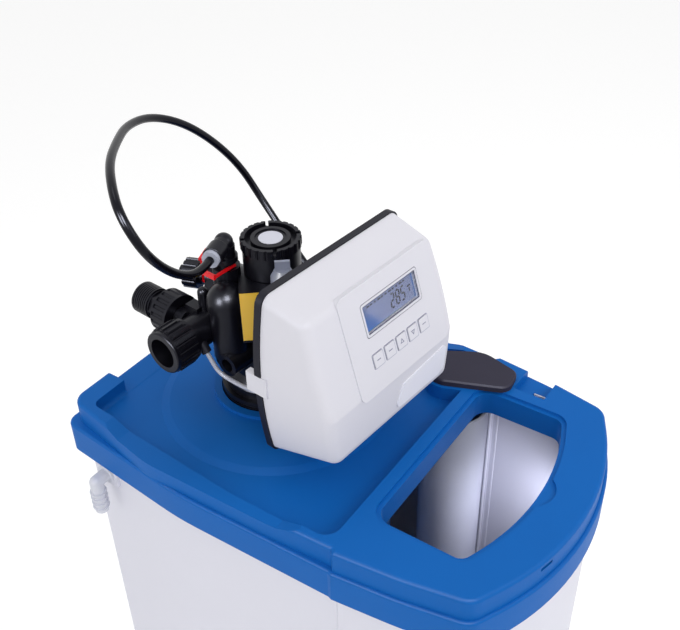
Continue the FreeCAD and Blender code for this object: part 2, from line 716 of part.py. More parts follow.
def hose_grommet():
    low = level(FLOOR_DROP)
    x, y = GROMMET
    flange = rod(GROMMET_R + 4, (x, y, grommet_seat()), (x, y, grommet_seat() + 4.0))
    body = rod(GROMMET_R - FIT, (x, y, low - DECK_WALL - 3), (x, y, grommet_seat()))
    body = flange.fuse(body)
    hole = rod(HOSE_R + FIT, (x, y, grommet_seat() + 1.0), (x, y, grommet_seat() + 5.0))
    lower = rod(PICKUP_R + FIT, (x, y, low - 20), (x, y, low - 2.0))
    way = rod(HOSE_BORE, (x, y, low - 20), (x, y, DECK_TOP))
    return body.cut(hole).cut(lower).cut(way)


def grommet_seat():
    """Height of the deck's dome under the grommet's flange, at its highest point."""
    return level(FLOOR_DROP) + 7.0


# Swept tubes


def swept_path(points, radii):
    """Straight runs joined by tangent arcs."""
    edges = []
    last = points[0]
    for i in range(1, len(points) - 1):
        back = points[i - 1] - points[i]
        on = points[i + 1] - points[i]
        back.normalize()
        on.normalize()
        half = back.getAngle(on) / 2
        reach = radii[i - 1] / math.tan(half)
        middle = back + on
        middle.normalize()
        centre = points[i] + middle * (radii[i - 1] / math.sin(half))
        start = points[i] + back * reach
        end = points[i] + on * reach
        if (start - last).Length > 0.001:
            edges.append(Part.makeLine(last, start))
        edges.append(Part.Arc(start, centre - middle * radii[i - 1], end).toShape())
        last = end
    edges.append(Part.makeLine(last, points[-1]))
    return Part.Wire(edges)


def swept_tube(points, outer, inner, radii):
    path = swept_path(points, radii)
    way = points[1] - points[0]
    solid = None
    for radius in (outer, inner):
        if radius > 0:
            ring = Part.Wire(Part.makeCircle(radius, points[0], way))
            sweep = path.makePipeShell([ring], True, False)
            solid = sweep if solid is None else solid.cut(sweep)
    return solid


def route_radii(points):
    """Arc radius at each inner point: 0.45 of the shorter run over the tangent of half the turn."""
    radii = []
    for i in range(1, len(points) - 1):
        back = points[i - 1] - points[i]
        on = points[i + 1] - points[i]
        turn = math.pi - back.getAngle(on)
        radii.append(0.45 * min(back.Length, on.Length) / math.tan(turn / 2))
    return radii


def cord(name, points, radius):
    points = [V(*p) for p in points]
    radii = route_radii(points)
    solid = swept_tube(points, radius, 0, radii)
    length = swept_path(points, radii).Length
    print("%s radii %s" % (name, " ".join("%.0f" % r for r in radii)))
    ratio = solid.Volume / (math.pi * radius ** 2 * length)
    print("%s length %.0f volume over section times length %.4f" % (name, length, ratio))
    return solid


HOSE_MIDDLE = [
    (-108.0, -11.0, 187.0),
    (-130.0, -12.0, 209.0),
    (-147.0, -13.0, 236.0),
    (-150.0, 2.0, 262.0),
    (-136.0, 26.0, 273.0),
    (-110.0, 60.0, 275.0),
    (-76.0, 93.0, 270.0),
    (-38.0, 126.0, 263.0),
    (6.0, 146.0, 251.0),
    (46.0, 146.0, 230.0),
    (80.0, 139.0, 198.0),
    (107.0, 130.0, 160.0),
    (117.0, 112.0, 122.0),
    (113.5, 72.0, 87.0),
]

CABLE_ROUTE = [
    (-74.5, 7.5, 74.0),
    (-74.0, 2.0, 65.0),
    (-72.0, -2.0, 54.5),
    (-70.5, -11.0, 49.8),
    (-70.0, -24.0, 49.0),
    (-71.0, -38.0, 51.0),
    (-73.0, -52.0, 56.0),
    (-74.0, -68.0, 61.0),
    (-74.0, PLATE_REAR, 61.0),
]


# Valve


def along_x(radius, x0, x1, y, z):
    return rod(radius, (x0, y, z), (x1, y, z))


def along_y(radius, y0, y1, x, z):
    return rod(radius, (x, y0, z), (x, y1, z))


def upright(radius, place, z0, z1):
    return rod(radius, (place[0], place[1], z0), (place[0], place[1], z1))


SHOULDER = (-49.0, 0.0)   # domed cylinder at the valve's left side
SHOULDER_R = 17.5
SHOULDER_TOP = 119.0
FLANGE_FACE = -62.0
SIDE_PORT_FACE = -66.5
NECK_OF_SOCKET = 17.5     # radius of the socket between its ribbed part and the valve
SOCKET_RIBBED = 30.0      # length of the ribbed part
POST = (-50.0, 32.0)      # round-topped post beside the outlet run
POST_R = 5.5
POST_TOP = 126.0
TAG_OUT = 39.6            # the tag's pad stands this far from the column's axis
TAG_SPAN = (4.0, 33.0)


def tag_pad():
    """Flat pad on the column, facing front left, that carries the tag."""
    pad = box((-TAG_OUT, -10), TAG_SPAN, (84.0, 142.0))
    pad.rotate(V(0, 0, 0), V(0, 0, 1), 45)
    pad.translate(V(0, COLUMN_Y, 0))
    return pad


def valve_solid():
    neck_end = NECK_RISE
    dome_r = SHOULDER_R + 2.0
    dome = Part.makeSphere(dome_r, V(*SHOULDER, SHOULDER_TOP + 4.0))
    dome = dome.common(upright(dome_r + 1, SHOULDER, SHOULDER_TOP, SHOULDER_TOP + 2 * dome_r))
    pieces = [
        rod(45.0, (0, 0, neck_end), (0, 0, 13.0)),
        cone(45.0, 37.0, (0, 0, 13.0), (0, 0, 24.0)),
        rod(37.0, (0, 0, 24.0), (0, 0, 62.0)),
        cone(37.0, 30.0, (0, 0, 62.0), (0, 0, 70.0)),
        rod(NECK_BORE - FIT, (0, 0, -26.0), (0, 0, neck_end)),
        along_y(BARREL_R, BARREL_FRONT, BARREL_REAR, 0, BARREL_Z),
        rod(30.0, (0, 0, 60.0), (0, 0, BARREL_Z)),
        upright(COLUMN_R, (0, COLUMN_Y), 60.0, COLUMN_TOP),
        upright(COLUMN_R + 2.0, (0, COLUMN_Y), COLUMN_TOP - 6.0, COLUMN_TOP),
        upright(SHOULDER_R, SHOULDER, 62.0, SHOULDER_TOP),
        upright(dome_r, SHOULDER, SHOULDER_TOP - 1.0, SHOULDER_TOP + 4.0),
        dome,
        cone(8.0, SHOULDER_R, (SHOULDER[0] + 7.0, SHOULDER[1], 48.0), (*SHOULDER, 62.0)),
        box((-45, 0), (-14, 6), (64.0, 108.0)),
        along_x(NECK_OF_SOCKET - 0.5, FLANGE_FACE, 0, RUN_Y, RUN_Z),
        along_x(INLET_R, BRANCH_X - 1.5, 0, INLET_Y, RUN_Z),
        along_y(INLET_R, INLET_Y, INLET_FACE, BRANCH_X, RUN_Z),
        box((FLANGE_FACE, -50), (30, 46), (98.0, 107.0)),
        along_x(11.8, SIDE_PORT_FACE, 0, SIDE_PORT_Y, SIDE_PORT_Z),
        upright(TOWER_R, TOWER, RUN_Z, TOWER_TOP),
        upright(POST_R, POST, RUN_Z, POST_TOP - POST_R),
        Part.makeSphere(POST_R, V(*POST, POST_TOP - POST_R)),
        rod(DRAIN_R, on_drain(-4.0), on_drain(14.0)),
        upright(REFILL_R, REFILL, RUN_Z, REFILL_TOP),
        box((-46, -20), (8, 20), (RUN_Z, 132.0)),
        tag_pad(),
    ]
    return pieces[0].multiFuse(pieces[1:])


def valve_body():
    body = valve_solid()
    cuts = [
        # piston barrel, open at the front for the drive cap
        along_y(BARREL_BORE, BARREL_FRONT - 1, BARREL_REAR - 6, 0, BARREL_Z),
        along_y(24.0, BARREL_FRONT - 1, -66.0, 0, BARREL_Z),
        # riser socket and the way up to the barrel
        rod(RISER_R + FIT, (0, 0, -27.0), (0, 0, 31.0)),
        rod(10.0, (0, 0, 30.0), (0, 0, BARREL_Z)),
        # outlet run and inlet way
        along_x(RUN_BORE, FLANGE_FACE - 1, 0, RUN_Y, RUN_Z),
        along_x(INLET_BORE, BRANCH_X, 0, INLET_Y, RUN_Z),
        along_y(INLET_BORE, INLET_Y, INLET_FACE + 1, BRANCH_X, RUN_Z),
        # room for the socket's neck beside the shoulder
        along_x(NECK_OF_SOCKET + FIT, SOCKET_END, FLANGE_FACE, RUN_Y, RUN_Z),
        # side port, brine port, drain port, refill port, injector pocket
        along_x(SIDE_PORT_BORE, SIDE_PORT_FACE - 1, SIDE_PORT_FACE + 24.0, SIDE_PORT_Y, SIDE_PORT_Z),
        upright(9.0 + FIT, TOWER, 136.0, TOWER_TOP + 1),
        upright(3.0, TOWER, 100.0, 137.0),
        rod(DRAIN_SPIGOT + FIT, on_drain(2.0), on_drain(15.0)),
        rod(DRAIN_BORE, on_drain(-12.0), on_drain(3.0)),
        upright(6.0 + FIT, REFILL, 124.0, REFILL_TOP + 1),
        upright(15.0, (0, COLUMN_Y), 116.0, COLUMN_TOP + 1),
        upright(INJECTOR_R + LOOSE, (0, COLUMN_Y), COLUMN_TOP, COLUMN_TOP + 30),
    ]
    return body.cut(cuts + screw_holes(FIT))


def tank_collar():
    """Ring nut on the neck, grooved for grip."""
    nut = rod(HOLE_R - 1.0, (0, 0, -22.0), (0, 0, NECK_RISE))
    nut = nut.cut(rod(NECK_R + FIT, (0, 0, -23.0), (0, 0, NECK_RISE + 1)))
    for z in (-9.0, -3.0):
        nut = nut.cut(tube(HOLE_R + 2.0, HOLE_R - 2.4, (0, 0, z), (0, 0, z + 1.6)))
    return nut


INJECTOR_R = 28.7
INJECTOR_TOP = 177.0
INJECTOR_RIM = 10.0       # height of the castellated rim


def injector_cap():
    """Round cap with a castellated rim and a raised middle that carries the sticker."""
    place = (0, COLUMN_Y)
    top = INJECTOR_TOP
    body = upright(INJECTOR_R - 1.0, place, COLUMN_TOP, top - INJECTOR_RIM)
    body = body.fuse(upright(INJECTOR_R, place, top - INJECTOR_RIM, top))
    body = body.cut(upright(INJECTOR_R - 4.2, place, top - 6.0, top + 1))
    body = body.fuse(upright(19.0, place, top - 7.0, top - 0.8))
    body = body.cut(upright(15.0, place, top - 2.0, top + 1))
    body = body.fuse(upright(15.0 - FIT, place, 124.0, COLUMN_TOP))
    body = body.cut(upright(7.0, place, 123.0, 150.0))
    for i in range(24):
        turn = math.radians(15 * i + 4)
        x = (INJECTOR_R + 0.2) * math.cos(turn)
        y = (INJECTOR_R + 0.2) * math.sin(turn)
        body = body.cut(upright(1.4, (x, y + COLUMN_Y), top - INJECTOR_RIM - 1, top + 1))
    for i in range(4):
        gap = box((22, 32), (-2.0, 2.0), (top - 5.0, top + 1))
        gap.rotate(V(0, 0, 0), V(0, 0, 1), 90 * i + 52)
        gap.translate(V(0, COLUMN_Y, 0))
        body = body.cut(gap)
    return body.removeSplitter()


def injector_sticker():
    return upright(11.6, (0, COLUMN_Y), INJECTOR_TOP - 2.0, INJECTOR_TOP - 1.6)


def outlet_socket():
    """Open G1 socket with a ribbed rim, on the outlet run."""
    ribbed_end = SOCKET_END + SOCKET_RIBBED
    body = along_x(SOCKET_R, SOCKET_END, ribbed_end, RUN_Y, RUN_Z)
    body = body.fuse(along_x(SOCKET_R + 0.9, SOCKET_END + 5.0, ribbed_end - 3.0, RUN_Y, RUN_Z))
    body = body.fuse(along_x(NECK_OF_SOCKET, ribbed_end, FLANGE_FACE, RUN_Y, RUN_Z))
    for i in range(20):
        turn = math.radians(18 * i)
        y = RUN_Y + (SOCKET_R + 1.1) * math.cos(turn)
        z = RUN_Z + (SOCKET_R + 1.1) * math.sin(turn)
        body = body.cut(along_x(1.5, SOCKET_END + 4.0, ribbed_end - 2.0, y, z))
    body = body.cut(along_x(SOCKET_BORE, SOCKET_END - 1, SOCKET_END + 22.0, RUN_Y, RUN_Z))
    body = body.cut(along_x(RUN_BORE, SOCKET_END, FLANGE_FACE + 1, RUN_Y, RUN_Z))
    rim_edges = [e for e in body.Edges if e.BoundBox.XMax < SOCKET_END + 0.01 and e.Length > 120]
    body = body.makeFillet(1.6, rim_edges)
    return union([body] + turbine_holder())


def inlet_nut():
    """Fluted ring nut on the rear-facing inlet."""
    start = INLET_FACE
    nut = along_y(22.5, start, start + 20.0, BRANCH_X, RUN_Z)
    for i in range(18):
        turn = math.radians(20 * i)
        x = BRANCH_X + 23.3 * math.cos(turn)
        z = RUN_Z + 23.3 * math.sin(turn)
        nut = nut.cut(along_y(2.2, start + 3.0, start + 19.0, x, z))
    return nut.cut(along_y(14.0 + FIT, start - 1, start + 21.0, BRANCH_X, RUN_Z)).removeSplitter()


def inlet_tail():
    """Tail with a male G1 thread, drawn as rings, behind a hexagon."""
    start = INLET_FACE
    body = along_y(14.0, start, start + 22.0, BRANCH_X, RUN_Z)
    corners = []
    for i in range(6):
        turn = math.radians(60 * i)
        corners.append((BRANCH_X + 15.2 * math.cos(turn), start + 20.0, RUN_Z + 15.2 * math.sin(turn)))
    hexagon = Part.Face(polygon(corners)).extrude(V(0, 12.0, 0))
    body = body.fuse(hexagon)
    body = body.fuse(along_y(15.2, start + 32.0, start + 34.0, BRANCH_X, RUN_Z))
    thread = start + 34.0
    body = body.fuse(along_y(TAIL_R, thread, thread + 21.0, BRANCH_X, RUN_Z))
    for i in range(7):
        y = thread + 2.0 + i * 2.6
        groove = along_y(TAIL_R + 3.0, y, y + 1.0, BRANCH_X, RUN_Z)
        body = body.cut(groove.cut(along_y(TAIL_R - 1.2, y - 1, y + 2, BRANCH_X, RUN_Z)))
    return body.cut(along_y(TAIL_BORE, start - 1, thread + 22.0, BRANCH_X, RUN_Z)).removeSplitter()


def nut_way():
    """Level unit direction from the elbow's bend to the hose nut."""
    way = V(NUT_FACE[0] - TOWER[0], NUT_FACE[1] - TOWER[1], 0)
    way.normalize()
    return way


def on_arm(distance):
    """Point on the elbow's arm this far from its bend."""
    way = nut_way()
    return (TOWER[0] + way.x * distance, TOWER[1] + way.y * distance, NUT_FACE[2])


def arm_length():
    return math.hypot(NUT_FACE[0] - TOWER[0], NUT_FACE[1] - TOWER[1])


def hose_elbow():
    bend = NUT_FACE[2]
    pieces = [
        upright(9.0, TOWER, 137.0, bend),
        upright(12.0, TOWER, 157.0, 162.0),
        upright(10.0, TOWER, 161.0, bend - 3),
        Part.makeSphere(9.0, V(TOWER[0], TOWER[1], bend)),
        rod(8.0, on_arm(0), on_arm(11.0)),
        rod(6.5, on_arm(10.0), on_arm(arm_length() - 4.0)),
    ]
    body = union(pieces)
    body = body.cut(upright(2.7, TOWER, 136.0, bend))
    body = body.cut(rod(2.7, on_arm(0), on_arm(arm_length() + 1)))
    return body.cut(tube(16.0, 8.0, (*TOWER, 152.0), (*TOWER, 154.4)))


def hose_nut():
    nut = rod(9.6, on_arm(11.0), on_arm(arm_length() - 3.0))
    nut = nut.cut(rod(6.5 + FIT, on_arm(10.0), on_arm(arm_length() - 4.0)))
    nut = nut.cut(rod(5.0, on_arm(10.0), on_arm(arm_length())))
    edges = [e for e in nut.Edges if e.Length > 58]
    return nut.makeFillet(1.0, edges)


def hose_grip_ring():
    """Pale gripping ring in the nut's mouth; the hose ends against its foot."""
    length = arm_length()
    ring = rod(8.2, on_arm(length - 3.0), on_arm(length + 1.5))
    ring = ring.cut(rod(HOSE_R + FIT, on_arm(length), on_arm(length + 3)))
    return ring.cut(rod(HOSE_BORE, on_arm(length - 4), on_arm(length + 1)))


def fork_clip(place, inner, z, way_x):
    """Flat fork pushed in from the side: two prongs joined by a bridge."""
    x, y = place
    prong = 2.6
    back = x + way_x * (inner + 18.0)
    front = x - way_x * 3.0
    pieces = []
    for side in (1, -1):
        near = y + side * inner
        far = y + side * (inner + prong)
        pieces.append(box((front, back), (near, far), (z, z + 2.2)))
    pieces.append(box((back - way_x * prong, back), (y - inner - prong, y + inner + prong), (z - 1.0, z + 4.0)))
    return union(pieces)


def brine_clip():
    """Red fork that holds the brine elbow in its tower."""
    return fork_clip(TOWER, 8.0 + FIT, 152.1, -1)


DRAIN_SPIGOT = 8.0
DRAIN_BORE = 4.0


def on_drain(distance):
    """Point on the drain's axis this far from where it leaves the barrel."""
    return (DRAIN[0] + DRAIN_WAY.x * distance, DRAIN[1] + DRAIN_WAY.y * distance, DRAIN[2])


def drain_clip():
    """The same fork, pushed down over the drain tail."""
    clip = fork_clip((0, 0), 7.2 + FIT, 15.1, 1)
    clip.rotate(V(0, 0, 0), V(0, 1, 0), -90)
    clip.rotate(V(0, 0, 0), V(0, 0, 1), math.degrees(math.atan2(DRAIN_WAY.y, DRAIN_WAY.x)) - 180)
    clip.translate(V(*DRAIN))
    return clip


def drain_tail():
    """Tail that plugs into the barrel's rear, with a collar behind the clip."""
    pieces = [
        rod(DRAIN_SPIGOT, on_drain(3.0), on_drain(20.0)),
        rod(10.5, on_drain(18.0), on_drain(21.0)),
        rod(7.0, on_drain(20.0), on_drain(44.0)),
    ]
    body = union(pieces).cut(rod(DRAIN_BORE, on_drain(2.0), on_drain(45.0)))
    return body.cut(tube(12.0, 7.2, on_drain(15.0), on_drain(17.4)))


def drain_nut():
    """Knurled nut on the drain tail."""
    nut = rod(15.5, on_drain(22.0), on_drain(38.0))
    nut = nut.cut(rod(7.0 + FIT, on_drain(21.0), on_drain(39.0)))
    side = V(0, 0, 1).cross(DRAIN_WAY)
    for i in range(12):
        turn = math.radians(30 * i)
        groove = rod(2.2, on_drain(24.0), on_drain(39.0))
        groove.translate(side * (16.3 * math.cos(turn)) + V(0, 0, 16.3 * math.sin(turn)))
        nut = nut.cut(groove)
    return nut.removeSplitter()


def refill_plug():
    """Pale translucent plug with a flat finger tab."""
    pieces = [
        upright(6.0, REFILL, 125.0, REFILL_TOP + 1),
        upright(REFILL_R, REFILL, REFILL_TOP, 158.0),
        cone(REFILL_R, 7.5, (*REFILL, 158.0), (*REFILL, 166.0)),
    ]
    tab = box((-7.0, 7.0), (-1.6, 1.6), (158.0, REFILL_TOP + 33.5))
    tab.rotate(V(0, 0, 0), V(0, 0, 1), -45)
    tab.translate(V(REFILL[0], REFILL[1], 0))
    pieces.append(tab)
    return union(pieces)


def turbine_place():
    return (-84.0, RUN_Y, RUN_Z)


def meter_turbine():
    x, y, z = turbine_place()
    hub = along_x(3.2, x, x + 12.0, y, z)
    pieces = [hub]
    for i in range(6):
        blade = box((x + 1, x + 11), (y - 0.6, y + 0.6), (z + 2.5, z + RUN_BORE - 1.2))
        blade.rotate(V(x, y, z), V(1, 0, 0), 60 * i)
        pieces.append(blade)
    return union(pieces).cut(along_x(1.2 + FIT, x - 1, x + 13, y, z))


def turbine_holder():
    """Cross and pin in the socket that the turbine spins on."""
    x, y, z = turbine_place()
    reach = RUN_BORE + 1
    bar_a = box((x + 14.0, x + 18.0), (y - 1, y + 1), (z - reach, z + reach))
    bar_b = box((x + 14.0, x + 18.0), (y - reach, y + reach), (z - 1, z + 1))
    pin = along_x(1.2, x - 1.0, x + 15.0, y, z)
    hub = along_x(3.0, x + 12.4, x + 18.0, y, z)
    return [bar_a, bar_b, pin, hub]


def meter_plug():
    """Sensor plug on the outlet run, where the grey cable starts."""
    start = V(*CABLE_ROUTE[0])
    way = V(*CABLE_ROUTE[1]) - start
    way.normalize()
    body = Part.makeCylinder(5.0, 12.0, start - way * 12.0, way)
    return body.cut(along_x(NECK_OF_SOCKET, SOCKET_END, FLANGE_FACE, RUN_Y, RUN_Z))


def yellow_tag():
    tag = box((-TAG_OUT - 0.5, -TAG_OUT), (TAG_SPAN[0] + 0.5, TAG_SPAN[1] - 0.5), (87.0, 141.0))
    tag.rotate(V(0, 0, 0), V(0, 0, 1), 45)
    tag.translate(V(0, COLUMN_Y, 0))
    return tag


SEAL_START = -60.0
SPACER = 18.0
SEAL = 3.0
PISTON_R = 12.0
ROD_R = 4.0


def seal_stack():
    """Five seals and the four spacers between them."""
    rings = []
    for i in range(5):
        y = SEAL_START + i * (SPACER + SEAL)
        seal_end = (0, y + SEAL, BARREL_Z)
        rings.append(tube(BARREL_BORE - FIT, PISTON_R + FIT, (0, y, BARREL_Z), seal_end))
        if i < 4:
            rings.append(tube(BARREL_BORE - FIT, PISTON_R + 1.5, seal_end, (0, y + SEAL + SPACER, BARREL_Z)))
    return Part.makeCompound(rings)


def piston():
    body = along_y(PISTON_R, -46.0, 14.0, 0, BARREL_Z)
    waist = tube(PISTON_R + 1, 8.0, (0, -26.0, BARREL_Z), (0, -8.0, BARREL_Z))
    return body.cut(waist).cut(along_y(6.0, -6.0, 15.0, 0, BARREL_Z))


def piston_rod():
    return along_y(ROD_R, -126.0, -46.0, 0, BARREL_Z)


def drive_cap():
    """Screw plug that closes the barrel and guides the rod."""
    cap = along_y(24.0 - FIT, BARREL_FRONT, -66.2, 0, BARREL_Z)
    return cap.cut(along_y(ROD_R + FIT, BARREL_FRONT - 1, -65.0, 0, BARREL_Z))


# Drive


GEAR_Y = -108.0
GEAR_WIDTH = 7.0
WHEEL_NEAR = 0.5          # the reduction wheel lies from this to WHEEL_FAR in front of the drive gear
WHEEL_FAR = 6.5
SHAFT_R = 1.5
PIN_R = 2.0


def gear(teeth, y0, y1, x, z, bore, phase):
    """Spur gear with slim teeth, so that a pair in mesh keeps backlash."""
    pitch = GEAR_MODULE * teeth / 2
    root = pitch - 1.25 * GEAR_MODULE
    tip = pitch + 0.75 * GEAR_MODULE
    pieces = [along_y(root, y0, y1, x, z)]
    for i in range(teeth):
        turn = phase + 360.0 * i / teeth
        tooth = Part.Face(polygon([
            (root - 0.5, y0, -0.95), (tip, y0, -0.38), (tip, y0, 0.38), (root - 0.5, y0, 0.95),
        ])).extrude(V(0, y1 - y0, 0))
        tooth.rotate(V(0, 0, 0), V(0, 1, 0), -turn)
        tooth.translate(V(x, 0, z))
        pieces.append(tooth)
    body = union(pieces)
    return body.cut(along_y(bore, y0 - 1, y1 + 1, x, z))


def reduction_place():
    """Axis of the reduction gear, straight above the drive gear."""
    reach = GEAR_MODULE * (DRIVE_TEETH + REDUCTION_PINION_TEETH) / 2
    return (0.0, BARREL_Z + reach)


def motor_place():
    reach = GEAR_MODULE * (REDUCTION_TEETH + MOTOR_TEETH) / 2
    x, z = reduction_place()
    return (x - reach, z)


def drive_gear():
    wheel = gear(DRIVE_TEETH, GEAR_Y, GEAR_Y + GEAR_WIDTH, 0, BARREL_Z, ROD_R + FIT, 90.0)
    hub = tube(9.0, ROD_R + FIT, (0, GEAR_Y + GEAR_WIDTH, BARREL_Z), (0, PLATE_FRONT - 5.0, BARREL_Z))
    return wheel.fuse(hub)


def reduction_gear():
    """Large wheel driven by the motor, with the small pinion that turns the drive gear."""
    x, z = reduction_place()
    # the pinion's tooth gap faces the drive gear's tooth
    pinion = gear(REDUCTION_PINION_TEETH, GEAR_Y - WHEEL_NEAR, GEAR_Y + GEAR_WIDTH, x, z, PIN_R + FIT, -75.0)
    wheel = gear(REDUCTION_TEETH, GEAR_Y - WHEEL_FAR, GEAR_Y - WHEEL_NEAR, x, z, PIN_R + FIT, 180.0)
    return pinion.fuse(wheel)


def motor_pinion():
    x, z = motor_place()
    return gear(MOTOR_TEETH, GEAR_Y - WHEEL_FAR, GEAR_Y - WHEEL_NEAR, x, z, SHAFT_R + FIT, 15.0)


def motor():
    """Geared motor on the back plate's front face, with its shaft."""
    x, z = motor_place()
    body = along_y(14.0, PLATE_FRONT, GEAR_Y + 2.0, x, z)
    shaft = along_y(SHAFT_R, GEAR_Y + 3.0, GEAR_Y - WHEEL_FAR, x, z)
    return body.fuse(shaft)


def drive_bracket():
    """Frame on the back plate with the gear's bearing ring, the reduction gear's pin and the board's posts."""
    x, z = reduction_place()
    ring = tube(14.0, 9.0 + FIT, (0, PLATE_FRONT, BARREL_Z), (0, PLATE_FRONT - 5.0, BARREL_Z))
    web = box((-40, 60), (PLATE_FRONT, PLATE_FRONT - 3.0), (56, 160))
    web = web.cut(along_y(14.0, PLATE_FRONT - 6, PLATE_FRONT + 1, 0, BARREL_Z))
    mx, mz = motor_place()
    web = web.cut(along_y(14.0 + LOOSE, PLATE_FRONT - 6, PLATE_FRONT + 1, mx, mz))
    pin = along_y(PIN_R, PLATE_FRONT - 3.0, GEAR_Y - WHEEL_FAR - 1.5, x, z)
    boss = along_y(5.0, PLATE_FRONT - 3.0, GEAR_Y + GEAR_WIDTH + LOOSE, x, z)
    pieces = [web, ring, pin, boss]
    for px, pz in board_posts():
        pieces.append(along_y(3.0, PLATE_FRONT - 3.0, BOARD_REAR, px, pz))
    return union(pieces)


BOARD_REAR = -124.0


def board_posts():
    return [(-34.0, 62.0), (54.0, 62.0), (54.0, 140.0)]


def circuit_board():
    board = box((-38, 58), (BOARD_REAR, BOARD_REAR - 1.6), (58, 148))
    board = board.cut(along_y(ROD_R + 3, BOARD_REAR + 1, BOARD_REAR - 3, 0, BARREL_Z))
    x, z = reduction_place()
    board = board.cut(along_y(4.0, BOARD_REAR + 1, BOARD_REAR - 3, x, z))
    chips = [
        box((-28, -12), (BOARD_REAR - 1.6, BOARD_REAR - 4.0), (64, 80)),
        box((20, 44), (BOARD_REAR - 1.6, BOARD_REAR - 3.4), (100, 112)),
        box((-30, -18), (BOARD_REAR - 1.6, BOARD_REAR - 8.0), (118, 130)),
    ]
    return union([board] + chips)


# Cover


def panel_slope():
    """Run back per mm of height on the tilted panel."""
    return (FOLD_Y - CHIN_Y) / (FOLD_Z - CHIN_Z)


def on_panel(shape):
    """Carry a shape drawn flat (X right, Y up the panel, Z out of it) to the panel, its origin at the fold."""
    tilt = math.degrees(math.atan2(1, panel_slope()))
    placed = shape.copy()
    placed.rotate(V(0, 0, 0), V(1, 0, 0), tilt)
    placed.translate(V(0, FOLD_Y, FOLD_Z))
    return placed


def side_outline(y, half):
    """Upright outline across the cover: bulging sides, open well above and below the cover."""
    low = COVER_WIDE_Z - SIDE_SPAN
    high = COVER_WIDE_Z + SIDE_SPAN
    narrow = half - SIDE_R + math.sqrt(SIDE_R ** 2 - SIDE_SPAN ** 2)
    right = Part.Arc(V(narrow, y, low), V(half, y, COVER_WIDE_Z), V(narrow, y, high)).toShape()
    top = Part.makeLine(V(narrow, y, high), V(-narrow, y, high))
    left = Part.Arc(V(-narrow, y, high), V(-half, y, COVER_WIDE_Z), V(-narrow, y, low)).toShape()
    bottom = Part.makeLine(V(-narrow, y, low), V(narrow, y, low))
    return Part.Wire([right, top, left, bottom])


def cover_form(inset):
    """The cover's outer form, moved inwards by the inset."""
    i = inset
    low_slope = (COVER_LOW_FRONT - COVER_LOW_REAR) / (PLATE_FRONT - CHIN_Y)
    side = [
        (0, PLATE_FRONT, COVER_LOW_REAR + i),
        (0, CHIN_Y + i, COVER_LOW_REAR + i + low_slope * (PLATE_FRONT - CHIN_Y - i)),
        (0, CHIN_Y + i, CHIN_Z),
        (0, FOLD_Y + i, FOLD_Z - i * 0.6),
        (0, PLATE_FRONT, COVER_TOP_REAR - i),
    ]
    face = Part.Face(polygon(side))
    face.translate(V(-WIDE, 0, 0))
    body = face.extrude(V(2 * WIDE, 0, 0))
    rear = side_outline(PLATE_FRONT, COVER_HALF_REAR - i)
    front = side_outline(CHIN_Y - 1, COVER_HALF_FRONT - i)
    body = body.common(Part.makeLoft([rear, front], True, True))
    edges = [e for e in body.Edges if not on_rear_face(e)]
    return body.makeFillet(COVER_ROUND - i, edges)


def on_rear_face(edge):
    return edge.BoundBox.YMin > PLATE_FRONT - 0.01


def raised_panel():
    """Low raised field on the panel that carries the display and the buttons, running on over the chin."""
    bottom = math.hypot(FOLD_Z - CHIN_Z, FOLD_Y - CHIN_Y) + 4.0
    corners = [(PANEL_X - PANEL_HALF, 4.0), (PANEL_X - PANEL_HALF, -bottom),
               (PANEL_X + PANEL_HALF, -bottom), (PANEL_X + PANEL_HALF, 4.0)]
    field = prism(rounded_polygon(corners, 7.0), -4.0, PANEL_RISE)
    return on_panel(field)


def button_x(i):
    return PANEL_X + (i - 2) * BUTTON_PITCH


def front_cover():
    outer = cover_form(0)
    outer = outer.fuse(raised_panel())
    inner = cover_form(COVER_WALL)
    cover = outer.cut(inner)
    for side in (1, -1):
        x = side * clip_x()
        rear = PLATE_REAR + CLIP_REACH
        tab = box((x, x + side * CLIP_THICK), (PLATE_FRONT - 6.0, rear), CLIP_Z)
        hook = box((x - side * 4.0, x + side * CLIP_THICK), (PLATE_REAR + LOOSE, rear), CLIP_Z)
        cover = cover.fuse(tab).fuse(hook)
    window = prism(display_outline(0.0, 1.5), -12.0, 6.0)
    cover = cover.cut(on_panel(window))
    recess = prism(display_outline(3.6, 3.0), 0.0, 6.0)
    cover = cover.cut(on_panel(recess))
    for i in range(5):
        cover = cover.cut(on_panel(button_prism(i, BUTTON_HALF + LOOSE, -12.0, 6.0)))
    return cover.removeSplitter()


CLIP_THICK = 2.4


def clip_x():
    """Inner face of the snap hooks, from the middle."""
    return COVER_HALF_REAR - 1.5


def display_outline(grow, corner_r):
    """The display's outline on the panel, widened by the growth."""
    half = DISPLAY_HALF + grow
    top = -DISPLAY_S[0] + grow
    bottom = -DISPLAY_S[1] - grow
    return rounded_polygon([(PANEL_X - half, top), (PANEL_X - half, bottom), (PANEL_X + half, bottom),
                            (PANEL_X + half, top)], corner_r)


def button_prism(i, half, low, high):
    x = button_x(i)
    corners = [(x - half, -BUTTON_S + half), (x - half, -BUTTON_S - half), (x + half, -BUTTON_S - half),
               (x + half, -BUTTON_S + half)]
    return prism(rounded_polygon(corners, 1.2), low, high)


def button(i):
    """Button with a flange behind the cover's wall that keeps it in."""
    head = button_prism(i, BUTTON_HALF, -COVER_WALL - 0.5, PANEL_RISE + 0.6)
    flange = button_prism(i, BUTTON_HALF + 1.1, -COVER_WALL - 1.7, -COVER_WALL - 0.4)
    return on_panel(head.fuse(flange).removeSplitter())


def display_window():
    """Clear pane behind the cover's window."""
    return on_panel(prism(display_outline(-2 * FIT, 1.4), -1.6, -0.4))


